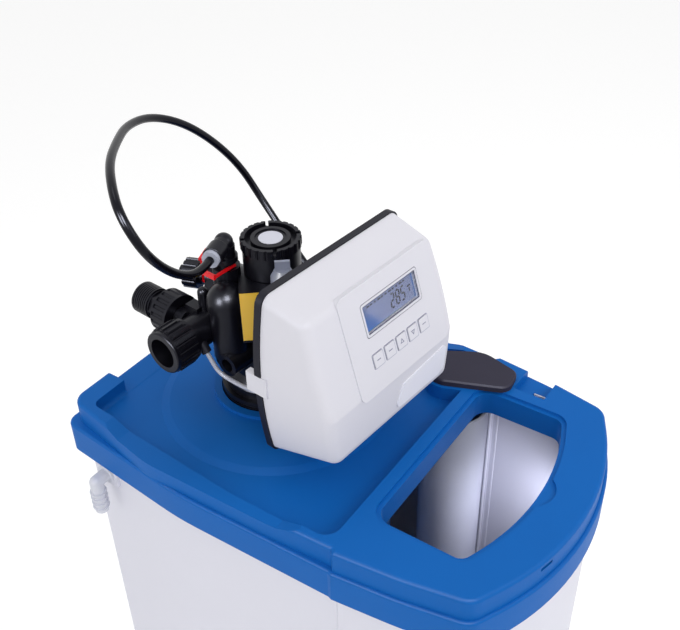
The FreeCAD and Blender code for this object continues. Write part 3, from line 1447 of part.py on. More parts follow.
def display_module():
    """Display behind the pane, on a frame that stands on the board."""
    half = DISPLAY_HALF - 1.0
    glass = box((PANEL_X - half, PANEL_X + half), (-DISPLAY_S[0] - 1, -DISPLAY_S[1] + 1), (-5.0, -2.2))
    return on_panel(glass)


def name_plate():
    """Bare raised plate at the chin's right."""
    corners = [(-2.0, 44.5), (10.0, 68.0), (79.0, 74.0), (76.0, 47.0), (66.0, 43.5)]
    wire = rounded_polygon(corners, 5.0)
    plate = prism(wire, 0.0, 1.2)
    plate.rotate(V(0, 0, 0), V(1, 0, 0), 90)
    plate.translate(V(0, CHIN_Y, 0))
    return plate


def back_plate():
    """Black plate behind the cover, with a hole for the barrel."""
    low = COVER_LOW_REAR - PLATE_MARGIN
    high = COVER_TOP_REAR + PLATE_MARGIN
    wire = plate_outline(COVER_HALF_REAR + PLATE_MARGIN, low, high)
    plate = prism(wire, 0.0, PLATE_REAR - PLATE_FRONT)
    plate.rotate(V(0, 0, 0), V(1, 0, 0), 90)
    plate.translate(V(0, PLATE_REAR, 0))
    plate = plate.cut(along_y(9.0 + FIT, PLATE_FRONT - 1, PLATE_REAR + 1, 0, BARREL_Z))
    plate = plate.cut(screw_holes(FIT))
    for side in (1, -1):
        x = side * clip_x()
        heights = (CLIP_Z[0] - 0.5, CLIP_Z[1] + 0.5)
        plate = plate.cut(box((x - side * LOOSE, x + side * 8), (PLATE_FRONT - 1, PLATE_REAR + 1), heights))
    return plate


def plate_outline(half, low, high):
    """Outline with bulging sides, drawn with its height as Y."""
    lean = math.tan(math.radians(9.0))
    widest = half + SIDE_R * (1 / math.cos(math.radians(9.0)) - 1)
    return mirrored_polygon([
        (widest - (high - COVER_WIDE_Z) * lean, high, 12.0),
        (widest, COVER_WIDE_Z, SIDE_R),
        (widest - (COVER_WIDE_Z - low) * lean, low, 12.0),
    ])


def plate_screws():
    """Screws that hold the back plate to the barrel's end."""
    screws = []
    for x, z in screw_places():
        screw = along_y(SCREW_R, PLATE_FRONT, PLATE_REAR + SCREW_GRIP, x, z)
        screw = screw.fuse(along_y(SCREW_HEAD_R, PLATE_FRONT, PLATE_FRONT + SCREW_HEAD, x, z))
        slot = box((x - 2.5, x + 2.5), (PLATE_FRONT - 1, PLATE_FRONT + 1), (z - 0.5, z + 0.5))
        screws.append(screw.cut(slot))
    return Part.makeCompound(screws)


SCREW_R = 2.0
SCREW_HEAD_R = 3.5
SCREW_HEAD = 2.5
SCREW_GRIP = 11.0
SCREW_RING = 27.0


def screw_places():
    places = []
    for i in range(4):
        turn = math.radians(90 * i + 45)
        places.append((SCREW_RING * math.cos(turn), BARREL_Z + SCREW_RING * math.sin(turn)))
    return places


def screw_holes(grow):
    """What the screws take out of the plate and the barrel's end."""
    holes = []
    for x, z in screw_places():
        holes.append(along_y(SCREW_R + grow, PLATE_FRONT - 1, PLATE_REAR + SCREW_GRIP + 1, x, z))
        holes.append(along_y(SCREW_HEAD_R + grow, PLATE_FRONT - 1, PLATE_FRONT + SCREW_HEAD, x, z))
    return holes


def main():
    os.makedirs("parts", exist_ok=True)
    export("cabinet_shell", cabinet_shell())
    export("top_deck", top_deck())
    export("brine_well_cap", brine_well_cap())
    export("overflow_elbow", overflow_elbow())
    export("overflow_nut", overflow_nut())
    export("resin_tank", resin_tank())
    export("tank_base", tank_base())
    export("resin_bed", resin_bed())
    export("riser_tube", riser_tube())
    export("lower_distributor", lower_distributor())
    export("upper_distributor", upper_distributor())
    export("brine_well_tube", brine_well_tube())
    export("salt_grid", salt_grid())
    export("float_bracket", float_bracket())
    export("brine_float", brine_float())
    export("pickup_tube", pickup_tube())
    export("air_check", air_check())
    export("hose_grommet", hose_grommet())
    head = {
        "valve_body": valve_body(),
        "tank_collar": tank_collar(),
        "injector_cap": injector_cap(),
        "injector_sticker": injector_sticker(),
        "outlet_socket": outlet_socket(),
        "inlet_nut": inlet_nut(),
        "inlet_tail": inlet_tail(),
        "hose_elbow": hose_elbow(),
        "hose_nut": hose_nut(),
        "hose_grip_ring": hose_grip_ring(),
        "brine_clip": brine_clip(),
        "drain_tail": drain_tail(),
        "drain_nut": drain_nut(),
        "drain_clip": drain_clip(),
        "refill_plug": refill_plug(),
        "meter_turbine": meter_turbine(),
        "meter_plug": meter_plug(),
        "yellow_tag": yellow_tag(),
        "seal_stack": seal_stack(),
        "piston": piston(),
        "piston_rod": piston_rod(),
        "drive_cap": drive_cap(),
        "drive_gear": drive_gear(),
        "reduction_gear": reduction_gear(),
        "motor_pinion": motor_pinion(),
        "motor": motor(),
        "drive_bracket": drive_bracket(),
        "circuit_board": circuit_board(),
        "front_cover": front_cover(),
        "display_window": display_window(),
        "display_module": display_module(),
        "name_plate": name_plate(),
        "back_plate": back_plate(),
        "plate_screws": plate_screws(),
        "brine_hose": cord("brine_hose", hose_route(), HOSE_R),
        "meter_cable": cord("meter_cable", CABLE_ROUTE, CABLE_R),
    }
    for i in range(5):
        head["button_%d" % (i + 1)] = button(i)
    for name, shape in head.items():
        export(name, seat_head(shape))


def hose_route():
    """From the nut on the elbow, over the valve and down behind it to the grommet, in the valve's frame."""
    turn = math.radians(-HEAD_YAW)
    right = GROMMET[0]
    back = GROMMET[1] - TANK_Y
    x = right * math.cos(turn) - back * math.sin(turn)
    y = right * math.sin(turn) + back * math.cos(turn)
    seat = grommet_seat() + 1.0 - DECK_TOP
    end = [(x + 2.0, y + 34.0, seat + 68.0), (x, y + 9.0, seat + 44.0), (x, y, seat + 22.0), (x, y, seat)]
    return [NUT_FACE, on_arm(arm_length() + 24.0)] + HOSE_MIDDLE + end


main()
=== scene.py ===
# Looks of the cabinet water softener: plastics, rubber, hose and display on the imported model.
import bpy
import bmesh
import json
import math
from mathutils import Matrix, Vector


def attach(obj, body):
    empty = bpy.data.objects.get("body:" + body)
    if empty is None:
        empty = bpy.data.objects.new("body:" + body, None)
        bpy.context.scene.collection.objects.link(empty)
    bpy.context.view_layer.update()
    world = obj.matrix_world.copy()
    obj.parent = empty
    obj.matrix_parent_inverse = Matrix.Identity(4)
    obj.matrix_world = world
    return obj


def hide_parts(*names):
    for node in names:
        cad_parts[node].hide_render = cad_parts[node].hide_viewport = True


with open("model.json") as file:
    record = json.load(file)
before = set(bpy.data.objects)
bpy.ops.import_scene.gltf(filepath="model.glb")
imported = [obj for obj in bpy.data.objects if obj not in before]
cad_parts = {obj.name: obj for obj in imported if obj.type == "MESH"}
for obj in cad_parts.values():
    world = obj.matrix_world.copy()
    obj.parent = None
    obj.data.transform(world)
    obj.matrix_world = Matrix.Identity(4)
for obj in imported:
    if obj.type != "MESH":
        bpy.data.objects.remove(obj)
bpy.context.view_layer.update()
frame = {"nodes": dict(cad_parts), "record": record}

# The valve stands on the tank's neck, turned a little; its own frame is in metres
HEAD_YAW = math.radians(-5.4)
HEAD_SEAT = Vector((0.0, 0.101, 0.900))
FOLD = Vector((0.0, -0.1365, 0.178))      # top of the cover's tilted panel
CHIN = Vector((0.0, -0.1638, 0.088))      # foot of the tilted panel

# Display and buttons, in mm on the panel: X to the right, Y up from the fold, Z out of it
PANEL_X = 15.0                            # middle of the display and of the row of buttons
DISPLAY_HALF = 37.0
DISPLAY_TOP, DISPLAY_FOOT = -16.5, -42.5
PRINT_Z = (-2.16, -2.06)                  # dark print on the display's cell, behind the pane
BUTTONS = 5
BUTTON_PITCH, BUTTON_DOWN, BUTTON_TOP = 17.0, -69.0, 1.8

# Deck and cabinet, in mm
SLOTS = [(127.0, -129.8), (132.0, -145.3)]  # middles of the deck's lid slots
SLOT_HALF_WIDE, SLOT_HALF_LONG = 2.75, 6.5
SLOT_BACK_THICK, SLOT_BACK_OFF, SLOT_BACK_SHORT = 1.5, 0.1, 0.3  # off the slot's side, short of its ends
SLOT_BACK_Z = (884.5, 890.7)
BEADS = [(147.6, -87.4), (151.4, -95.0)]    # inside the cabinet's right wall; their brighter white is a painted highlight
BEAD_R = 1.3
BEAD_Z = (60.0, 840.0)

SEAT = Matrix.Translation(HEAD_SEAT) @ Matrix.Rotation(HEAD_YAW, 4, "Z")
UP_PANEL = (FOLD - CHIN).normalized()
OUT_OF_PANEL = Vector((1.0, 0.0, 0.0)).cross(UP_PANEL)
PANEL_AXES = Matrix((Vector((1.0, 0.0, 0.0)), UP_PANEL, OUT_OF_PANEL)).transposed().to_4x4()
PANEL = SEAT @ Matrix.Translation(FOLD) @ PANEL_AXES
OBJECT_FRAME = Matrix.Identity(4)

HOSE_DIAMETER = 0.0081
HOSE_POINTS = [
    (-0.0616, 0.1078, 1.0760), (-0.0845, 0.1005, 1.0760), (-0.1086, 0.1002, 1.0870), (-0.1306, 0.1013, 1.1090),
    (-0.1476, 0.1019, 1.1360), (-0.1491, 0.1171, 1.1620), (-0.1329, 0.1397, 1.1730), (-0.1039, 0.1711, 1.1750),
    (-0.0669, 0.2007, 1.1700), (-0.0260, 0.2300, 1.1630), (0.0197, 0.2458, 1.1510), (0.0595, 0.2420, 1.1300),
    (0.0927, 0.2319, 1.0980), (0.1188, 0.2204, 1.0600), (0.1270, 0.2015, 1.0220), (0.1198, 0.1620, 0.9870),
    (0.1102, 0.1237, 0.9600), (0.1058, 0.0990, 0.9360), (0.1050, 0.0900, 0.9140), (0.1050, 0.0900, 0.8920),
]
CABLE_DIAMETER = 0.0044
CABLE_POINTS = [
    (-0.0735, 0.1155, 0.9740), (-0.0735, 0.1100, 0.9650), (-0.0719, 0.1058, 0.9545), (-0.0712, 0.0967, 0.9498),
    (-0.0719, 0.0837, 0.9490), (-0.0743, 0.0699, 0.9510), (-0.0776, 0.0561, 0.9560), (-0.0801, 0.0403, 0.9610),
    (-0.0817, 0.0233, 0.9610),
]

COLOUR_A, COLOUR_B = 6, 7                 # a Mix node's two colour inputs
LAMP_SHEEN = (0.82, 0.85, 1.0, 1.0)       # the cool tone that gloss takes in the photograph
WHITE = (1.0, 1.0, 1.0, 1.0)


def linear(hex_colour):
    """sRGB hex value as a linear colour with full alpha."""
    channels = [int(hex_colour[i:i + 2], 16) / 255 for i in (1, 3, 5)]
    return tuple(c / 12.92 if c <= 0.04045 else ((c + 0.055) / 1.055) ** 2.4 for c in channels) + (1.0,)


def put(tree, kind, settings=None, links=None):
    """Add a node with its settings (attributes or input values) and the sockets that feed its inputs."""
    node = tree.nodes.new(kind)
    for name, value in (settings or {}).items():
        if isinstance(name, str) and hasattr(node, name):
            setattr(node, name, value)
        else:
            node.inputs[name].default_value = value
    for name, socket in (links or {}).items():
        tree.links.new(socket, node.inputs[name])
    return node


def new_material(name):
    material = bpy.data.materials.new(name)
    material.use_nodes = True
    material.node_tree.nodes.clear()
    return material, material.node_tree


def per_mm(size_mm):
    """Noise scale that gives features of this size, for coordinates in metres."""
    return 1000.0 / size_mm


def moulded_plastic(name, colour, shade, roughness, grain_mm, grain_depth, mottle_mm, coat=0.0, specular=0.2):
    """Moulded plastic: faint flow mottling between its colour and its shade, and the fine spark-eroded grain of
    the tool, which breaks up its gloss. The grain is drawn at 0.8 to 3 mm, coarser than real, to show."""
    material, tree = new_material(name)
    place = put(tree, "ShaderNodeTexCoord").outputs["Object"]
    mottle = put(tree, "ShaderNodeTexNoise", {"Scale": per_mm(mottle_mm), "Detail": 3.0, "Roughness": 0.6},
                 {"Vector": place})
    tint = put(tree, "ShaderNodeMix", {"data_type": "RGBA", COLOUR_A: linear(colour), COLOUR_B: linear(shade)},
               {"Factor": mottle.outputs["Fac"]})
    grain = put(tree, "ShaderNodeTexNoise", {"Scale": per_mm(grain_mm), "Detail": 2.0}, {"Vector": place})
    spread = put(tree, "ShaderNodeMapRange", {"To Min": roughness - 0.05, "To Max": roughness + 0.07},
                 {"Value": grain.outputs["Fac"]})
    bump = put(tree, "ShaderNodeBump", {"Strength": 0.35, "Distance": grain_depth / 1000},
               {"Height": grain.outputs["Fac"]})
    shader = put(tree, "ShaderNodeBsdfPrincipled",
                 {"IOR": 1.49, "Coat Weight": coat, "Coat Roughness": 0.1, "Specular IOR Level": specular,
                  "Specular Tint": LAMP_SHEEN},
                 {"Base Color": tint.outputs[2], "Roughness": spread.outputs[0], "Normal": bump.outputs[0]})
    put(tree, "ShaderNodeOutputMaterial", links={"Surface": shader.outputs[0]})
    return material


def clear_plastic(name, colour, roughness, transmission, specular=0.5):
    """Natural polypropylene or an acrylic pane: see-through, with a haze that softens its gloss in patches."""
    material, tree = new_material(name)
    place = put(tree, "ShaderNodeTexCoord").outputs["Object"]
    haze = put(tree, "ShaderNodeTexNoise", {"Scale": per_mm(9.0), "Detail": 2.0}, {"Vector": place})
    spread = put(tree, "ShaderNodeMapRange", {"To Min": roughness, "To Max": roughness + 0.1},
                 {"Value": haze.outputs["Fac"]})
    shader = put(tree, "ShaderNodeBsdfPrincipled",
                 {"Base Color": linear(colour), "IOR": 1.46, "Transmission Weight": transmission,
                  "Specular IOR Level": specular},
                 {"Roughness": spread.outputs[0]})
    put(tree, "ShaderNodeOutputMaterial", links={"Surface": shader.outputs[0]})
    return material


def turned_steel(name, colour, roughness):
    """Zinc-plated steel as it left the lathe: lines along one way that stretch its reflections, drawn 0.6 mm
    apart, coarser than the real ones."""
    material, tree = new_material(name)
    place = put(tree, "ShaderNodeTexCoord").outputs["Object"]
    line_scale = (per_mm(0.6), per_mm(12.0), per_mm(0.6))
    stretch = put(tree, "ShaderNodeMapping", {"Scale": line_scale}, {"Vector": place})
    lines = put(tree, "ShaderNodeTexNoise", {"Scale": 1.0, "Detail": 3.0}, {"Vector": stretch.outputs[0]})
    spread = put(tree, "ShaderNodeMapRange", {"To Min": roughness - 0.08, "To Max": roughness + 0.1},
                 {"Value": lines.outputs["Fac"]})
    shader = put(tree, "ShaderNodeBsdfPrincipled", {"Base Color": linear(colour), "Metallic": 1.0},
                 {"Roughness": spread.outputs[0]})
    put(tree, "ShaderNodeOutputMaterial", links={"Surface": shader.outputs[0]})
    return material


def resin_beads(name, colour, shade):
    """Softening resin: amber beads about 0.6 mm across, drawn at 3 mm so that they can be seen; each darkens
    towards its edge, painted shade between the beads.
    """
    material, tree = new_material(name)
    place = put(tree, "ShaderNodeTexCoord").outputs["Object"]
    beads = put(tree, "ShaderNodeTexVoronoi", {"Scale": per_mm(3.0)}, {"Vector": place})
    tint = put(tree, "ShaderNodeMix", {"data_type": "RGBA", COLOUR_A: linear(colour), COLOUR_B: linear(shade)},
               {"Factor": beads.outputs["Distance"]})
    bump = put(tree, "ShaderNodeBump", {"Strength": 0.8, "Distance": 0.001, "invert": True},
               {"Height": beads.outputs["Distance"]})
    shader = put(tree, "ShaderNodeBsdfPrincipled", {"Roughness": 0.35},
                 {"Base Color": tint.outputs[2], "Normal": bump.outputs[0]})
    put(tree, "ShaderNodeOutputMaterial", links={"Surface": shader.outputs[0]})
    return material


def along(tree, place, direction, origin):
    """How far a point lies along a direction from an origin, in mm."""
    shifted = put(tree, "ShaderNodeVectorMath", {"operation": "SUBTRACT", 1: tuple(origin)}, {0: place})
    run = put(tree, "ShaderNodeVectorMath", {"operation": "DOT_PRODUCT", 1: tuple(direction * 1000)},
              {0: shifted.outputs["Vector"]})
    return run.outputs["Value"]


CORNER_BLUE = (9.0, 21.0)                 # where the painted blue backlight of the lower left corner starts to fade and ends, mm
CORNER_FLECK = 14.0                       # how far that border wanders, mm
EDGE_BLUE = (4.5, 2.0)                    # the painted blue backlight band's start and full strength before the right edge, mm


def display_cell(name, field, backlight):
    """Liquid-crystal cell: a grey field, with the backlight's blue light painted into its colour in its lower
    left corner and at its right edge."""
    material, tree = new_material(name)
    place = put(tree, "ShaderNodeTexCoord").outputs["Object"]
    turn = PANEL.to_3x3()
    left_edge = PANEL @ Vector(((PANEL_X - DISPLAY_HALF) / 1000, 0, 0))
    foot = PANEL @ Vector((0, DISPLAY_FOOT / 1000, 0))
    right = along(tree, place, turn @ Vector((1.0, 0.0, 0.0)), left_edge)
    up = along(tree, place, turn @ Vector((0.0, 1.0, 0.0)), foot)
    fleck = put(tree, "ShaderNodeTexNoise", {"Scale": per_mm(1.6), "Detail": 3.0}, {"Vector": place})
    ragged = put(tree, "ShaderNodeMath", {"operation": "MULTIPLY", 1: CORNER_FLECK}, {0: fleck.outputs["Fac"]})
    slope = put(tree, "ShaderNodeMath", {"operation": "ADD"}, {0: right, 1: up})
    corner = put(tree, "ShaderNodeMath", {"operation": "SUBTRACT"}, {0: slope.outputs[0], 1: ragged.outputs[0]})
    corner_blue = put(tree, "ShaderNodeMapRange",
                      {"From Min": CORNER_BLUE[0], "From Max": CORNER_BLUE[1], "To Min": 0.98, "To Max": 0.0},
                      {"Value": corner.outputs[0]})
    edge_blue = put(tree, "ShaderNodeMapRange",
                    {"From Min": 2 * DISPLAY_HALF - EDGE_BLUE[0], "From Max": 2 * DISPLAY_HALF - EDGE_BLUE[1],
                     "To Max": 0.9},
                    {"Value": right})
    blue = put(tree, "ShaderNodeMath", {"operation": "MAXIMUM"},
               {0: corner_blue.outputs[0], 1: edge_blue.outputs[0]})
    tint = put(tree, "ShaderNodeMix",
               {"data_type": "RGBA", COLOUR_A: linear(field), COLOUR_B: linear(backlight)},
               {"Factor": blue.outputs[0]})
    shader = put(tree, "ShaderNodeBsdfPrincipled", {"Roughness": 0.5, "Specular IOR Level": 0.1},
                 {"Base Color": tint.outputs[2]})
    put(tree, "ShaderNodeOutputMaterial", links={"Surface": shader.outputs[0]})
    return material


# Rotomoulded polyethylene is satin and slightly waxy, so its gloss is wide and weak
DECK_BLUE = moulded_plastic("deck_moulded_blue_polyethylene", "#0562B4", "#055CAC", roughness=0.46,
                            grain_mm=1.6, grain_depth=0.08, mottle_mm=80.0, specular=0.12)
CABINET_WHITE = moulded_plastic("cabinet_moulded_white_polyethylene", "#DCDCE6", "#D8D8E2", roughness=0.5,
                                grain_mm=2.2, grain_depth=0.06, mottle_mm=120.0)
# ABS takes a fine even grain from the tool and keeps a soft sheen; the name plate's face is smoother
COVER_WHITE = moulded_plastic("cover_moulded_white_abs", "#DCDBE2", "#D8D7DF", roughness=0.42,
                              grain_mm=0.9, grain_depth=0.03, mottle_mm=70.0, specular=0.1)
# The same brighter white is also used on the wall beads inside the cabinet, as a painted highlight
PLATE_WHITE_AND_BEAD_HIGHLIGHT = moulded_plastic("name_plate_polished_white_abs", "#EEEEF5", "#EAEAF3", roughness=0.3,
                              grain_mm=0.9, grain_depth=0.01, mottle_mm=40.0, coat=0.1)
# Glass-filled nylon is nearly black, with sharp glints where its skin is smooth
VALVE_BLACK = moulded_plastic("valve_glass_filled_black_nylon", "#07060D", "#0D0C14", roughness=0.3,
                              grain_mm=1.4, grain_depth=0.03, mottle_mm=12.0, specular=0.25)
# Polypropylene is softer than ABS: dull, with a grain that the hand feels
BLACK_PLASTIC = moulded_plastic("back_plate_black_polypropylene", "#1A1922", "#14131B", roughness=0.4,
                                grain_mm=1.2, grain_depth=0.06, mottle_mm=25.0)
CAP_BLACK = moulded_plastic("well_cap_grey_black_polypropylene", "#2E2B3A", "#2A2735", roughness=0.55,
                            grain_mm=1.4, grain_depth=0.06, mottle_mm=30.0)
WHITE_PLASTIC = moulded_plastic("fittings_white_polypropylene", "#D6D7E0", "#CED0DA", roughness=0.5,
                                grain_mm=1.5, grain_depth=0.05, mottle_mm=40.0)
# Acetal is hard and slick: small clean highlights
GRIP_GREY = moulded_plastic("grip_ring_grey_acetal", "#B4B8C6", "#AAAEBE", roughness=0.4,
                            grain_mm=1.5, grain_depth=0.03, mottle_mm=20.0)
RED_ACETAL = moulded_plastic("clips_moulded_red_acetal", "#F4141F", "#E41019", roughness=0.3,
                             grain_mm=1.0, grain_depth=0.03, mottle_mm=20.0, coat=0.2)
# Glass fibre wound in resin leaves a coarse, uneven skin on the tank
TANK_BLUE = moulded_plastic("tank_wound_glass_fibre_blue", "#2C5F9C", "#244F85", roughness=0.5,
                            grain_mm=3.0, grain_depth=0.20, mottle_mm=30.0)
# Varnish gives the card a thin clear shine; bare vinyl stays flat
TAG_YELLOW = moulded_plastic("tag_varnished_yellow_card", "#FFD044", "#FFCA3C", roughness=0.4,
                             grain_mm=0.8, grain_depth=0.01, mottle_mm=20.0, coat=0.5)
STICKER_WHITE = moulded_plastic("sticker_white_vinyl", "#D2D3DE", "#CCCDD9", roughness=0.4,
                                grain_mm=0.8, grain_depth=0.01, mottle_mm=10.0)
# Solder mask is a semi-gloss lacquer on the board
BOARD_GREEN = moulded_plastic("board_solder_masked_green", "#1E6A3C", "#1A5C34", roughness=0.4,
                              grain_mm=1.0, grain_depth=0.02, mottle_mm=8.0)
# Nitrile rubber is matt and takes hardly a highlight
SEAL_RUBBER = moulded_plastic("seals_black_nitrile_rubber", "#1A1A1C", "#222226", roughness=0.7,
                              grain_mm=1.0, grain_depth=0.06, mottle_mm=15.0)
# Extruded hose and cable have a drawn, glossy skin that catches the lamps in thin streaks
HOSE_BLACK = moulded_plastic("hose_extruded_black_polyethylene", "#050409", "#0A0910", roughness=0.2,
                             grain_mm=2.0, grain_depth=0.02, mottle_mm=20.0)
CABLE_GREY = moulded_plastic("cable_sheath_pale_grey_vinyl", "#C2C4D0", "#B8BAC8", roughness=0.35,
                             grain_mm=1.5, grain_depth=0.03, mottle_mm=20.0, coat=0.2)
# Ink, and painted shade in the slits and grooves, in thin lines, flat and even
FLAT = {"roughness": 0.5, "grain_mm": 0.8, "grain_depth": 0.01, "mottle_mm": 10.0}
# Printed grey of the key symbols, also used as the painted shade at the slits' left and upper sides
SYMBOL_AND_SLIT_SHADE_GREY = moulded_plastic("key_symbols_printed_grey", "#8E90A4", "#86889E", **FLAT)
SLIT_GREY = moulded_plastic("key_slits_shaded_abs", "#B2B4C4", "#AAACBE", **FLAT)
# Dark lines in the display's grooves are painted shade
GROOVE_GREY = moulded_plastic("display_groove_painted_shade_abs", "#3E415C", "#383B54", specular=0.05, **FLAT)
CRYSTAL_DARK = moulded_plastic("display_dark_segments", "#0A0B16", "#080912", specular=0.05, **FLAT)
# Zinc plating on turned screws is bright and slightly streaked
STEEL = turned_steel("screws_zinc_plated_steel", "#C4C6CA", roughness=0.3)
# Natural polypropylene is milky grey; the acrylic pane hardly shows and lets the cell through
CLEAR = clear_plastic("refill_plug_natural_polypropylene", "#A0A5B8", roughness=0.34, transmission=0.45)
PANE = clear_plastic("display_pane_clear_acrylic", "#F8F9FC", roughness=0.05, transmission=1.0, specular=0.12)
# Wet resin beads are amber; their darkening between them is painted shade
RESIN = resin_beads("resin_amber_beads", "#C98A2E", "#7A4411")
# The display's glass is dull grey behind its pane, with the backlight's blue light painted in at two places
LCD = display_cell("display_liquid_crystal_cell", "#68718F", "#0B4A8A")

SLOT_LOOKS = {
    "cabinet": CABINET_WHITE, "deck": DECK_BLUE, "black_plastic": BLACK_PLASTIC, "white_plastic": WHITE_PLASTIC,
    "tank": TANK_BLUE, "resin": RESIN, "hose": HOSE_BLACK, "clear": CLEAR, "valve": VALVE_BLACK,
    "sticker": STICKER_WHITE, "red_plastic": RED_ACETAL, "yellow_card": TAG_YELLOW, "rubber": SEAL_RUBBER,
    "steel": STEEL, "board": BOARD_GREEN, "cover": COVER_WHITE, "display": LCD, "buttons": COVER_WHITE,
    "cable": CABLE_GREY,
}
NODE_LOOKS = {"brine_well_cap": CAP_BLACK, "display_window": PANE, "name_plate": PLATE_WHITE_AND_BEAD_HIGHLIGHT,
              "hose_grip_ring": GRIP_GREY}


def dress_nodes():
    """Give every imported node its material."""
    for part in frame["record"]["subparts"]:
        node = part["node"]
        look = NODE_LOOKS.get(node, SLOT_LOOKS[part["material_slot"]])
        piece = frame["nodes"][node]
        piece.data.materials.clear()
        piece.data.materials.append(look)


def link(piece, body, look):
    """Put a piece in the scene, on its body, in one material."""
    bpy.context.scene.collection.objects.link(piece)
    piece.data.materials.append(look)
    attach(piece, body)
    return piece


def mesh_piece(name, form, place, body, look):
    """Finish a bmesh drawn in mm in its own frame: carried to its place, on a body, in one material."""
    bmesh.ops.recalc_face_normals(form, faces=form.faces)
    mesh = bpy.data.meshes.new(name)
    form.to_mesh(mesh)
    form.free()
    mesh.transform(place @ Matrix.Scale(0.001, 4))
    return link(bpy.data.objects.new(name, mesh), body, look)


def add_prism(form, outline, low, high):
    """Flat prism over an outline of (x, y) points in mm."""
    rings = [[form.verts.new((x, y, z)) for x, y in outline] for z in (low, high)]
    count = len(outline)
    for i in range(count):
        j = (i + 1) % count
        form.faces.new((rings[0][i], rings[0][j], rings[1][j], rings[1][i]))
    form.faces.new(list(reversed(rings[0])))
    form.faces.new(rings[1])


def rounded_box(left, right, foot, top, radius, steps=6):
    """Outline of a rectangle with round corners."""
    points = []
    middle_x, middle_y = (left + right) / 2, (foot + top) / 2
    for x, y, start in ((right, top, 0), (left, top, 90), (left, foot, 180), (right, foot, 270)):
        centre = (x - math.copysign(radius, x - middle_x), y - math.copysign(radius, y - middle_y))
        for i in range(steps + 1):
            turn = math.radians(start + 90 * i / steps)
            points.append((centre[0] + radius * math.cos(turn), centre[1] + radius * math.sin(turn)))
    return points


def trim_box(left, right, foot, top):
    """Outline of a thin strip, its corners just broken."""
    return rounded_box(left, right, foot, top, radius=0.4, steps=2)


def add_frame(form, loops):
    """Closed frame whose section runs through outlines of the same number of points, each at its own height."""
    rings = [[form.verts.new((x, y, z)) for x, y in outline] for outline, z in loops]
    count = len(rings[0])
    for k, ring in enumerate(rings):
        following = rings[(k + 1) % len(rings)]
        for i in range(count):
            j = (i + 1) % count
            form.faces.new((ring[i], ring[j], following[j], following[i]))


# Display's frame, in mm: growth past the display, height above the panel, corner radius
BEZEL_SECTION = ((3.0, 0.05, 2.6), (3.0, 1.3, 2.6), (2.6, 1.6, 2.3), (1.2, 1.6, 1.4), (0.8, 1.3, 1.0),
                 (0.8, 0.05, 1.0))
# Grooves outside and inside the frame, their shade painted as a dark line: outer and inner growth, foot and top
# of the dark line
GROOVES = ((4.3, 3.05, 0.02, 1.0), (0.75, 0.0, 0.02, 0.6))


def grown_display(grow, radius):
    """Outline of the display, larger by a margin."""
    return rounded_box(PANEL_X - DISPLAY_HALF - grow, PANEL_X + DISPLAY_HALF + grow, DISPLAY_FOOT - grow,
                       DISPLAY_TOP + grow, radius)


def display_frames():
    """Raised white frame round the display, and dark lines of painted shade in the grooves outside and inside
    it.
    """
    form = bmesh.new()
    add_frame(form, [(grown_display(grow, radius), z) for grow, z, radius in BEZEL_SECTION])
    mesh_piece("display_bezel", form, PANEL, "cover", COVER_WHITE)
    form = bmesh.new()
    for outer, inner, low, high in GROOVES:
        add_frame(form, [(grown_display(outer, outer), low), (grown_display(outer, outer), high),
                         (grown_display(inner, inner), high), (grown_display(inner, inner), low)])
    mesh_piece("display_grooves", form, PANEL, "cover", GROOVE_GREY)


# Digits as bars between the corners of a grid of two columns and three rows
SEGMENTS = {"top": ((0, 2), (1, 2)), "high_left": ((0, 1), (0, 2)), "high_right": ((1, 1), (1, 2)),
            "middle": ((0, 1), (1, 1)), "low_left": ((0, 0), (0, 1)), "low_right": ((1, 0), (1, 1)),
            "foot": ((0, 0), (1, 0))}
DIGITS = {"2": ("top", "high_right", "middle", "low_left", "foot"),
          "8": tuple(SEGMENTS),
          "5": ("top", "high_left", "middle", "low_right", "foot")}
READING = "285"
READING_X, READING_UP = 1.0, 6.0          # first digit's foot, right of the middle and above the display's foot
DIGIT_WIDE, DIGIT_ROW, DIGIT_PITCH = 4.6, 6.3, 7.6
DIGIT_LEAN = 0.12
SEGMENT_HALF, SEGMENT_GAP = 0.85, 0.35
SCALE_MARKS, SCALE_X, SCALE_PITCH = 11, -30.0, 5.2
SCALE_MARK, SCALE_LONG_MARK = 2.6, 4.2    # every third mark is long
SCALE_DOWN = (4.4, 2.8)                   # foot and top of the marks below the display's top
UNIT_X = 26.5
UNIT_BAR = (0.0, 4.6, 14.2, 15.8)         # the unit's sign: left, right, foot and top from its corner
UNIT_STEM = (1.6, 3.0, 9.6, 13.2)


def add_segment(form, start, end):
    """One bar of a digit, pointed at both ends."""
    way = (end - start).normalized()
    side = Vector((-way.y, way.x)) * SEGMENT_HALF
    point = way * SEGMENT_HALF
    a, b = start + way * SEGMENT_GAP, end - way * SEGMENT_GAP
    outline = [a, a + point + side, b - point + side, b, b - point - side, a + point - side]
    add_prism(form, [(p.x, p.y) for p in outline], *PRINT_Z)


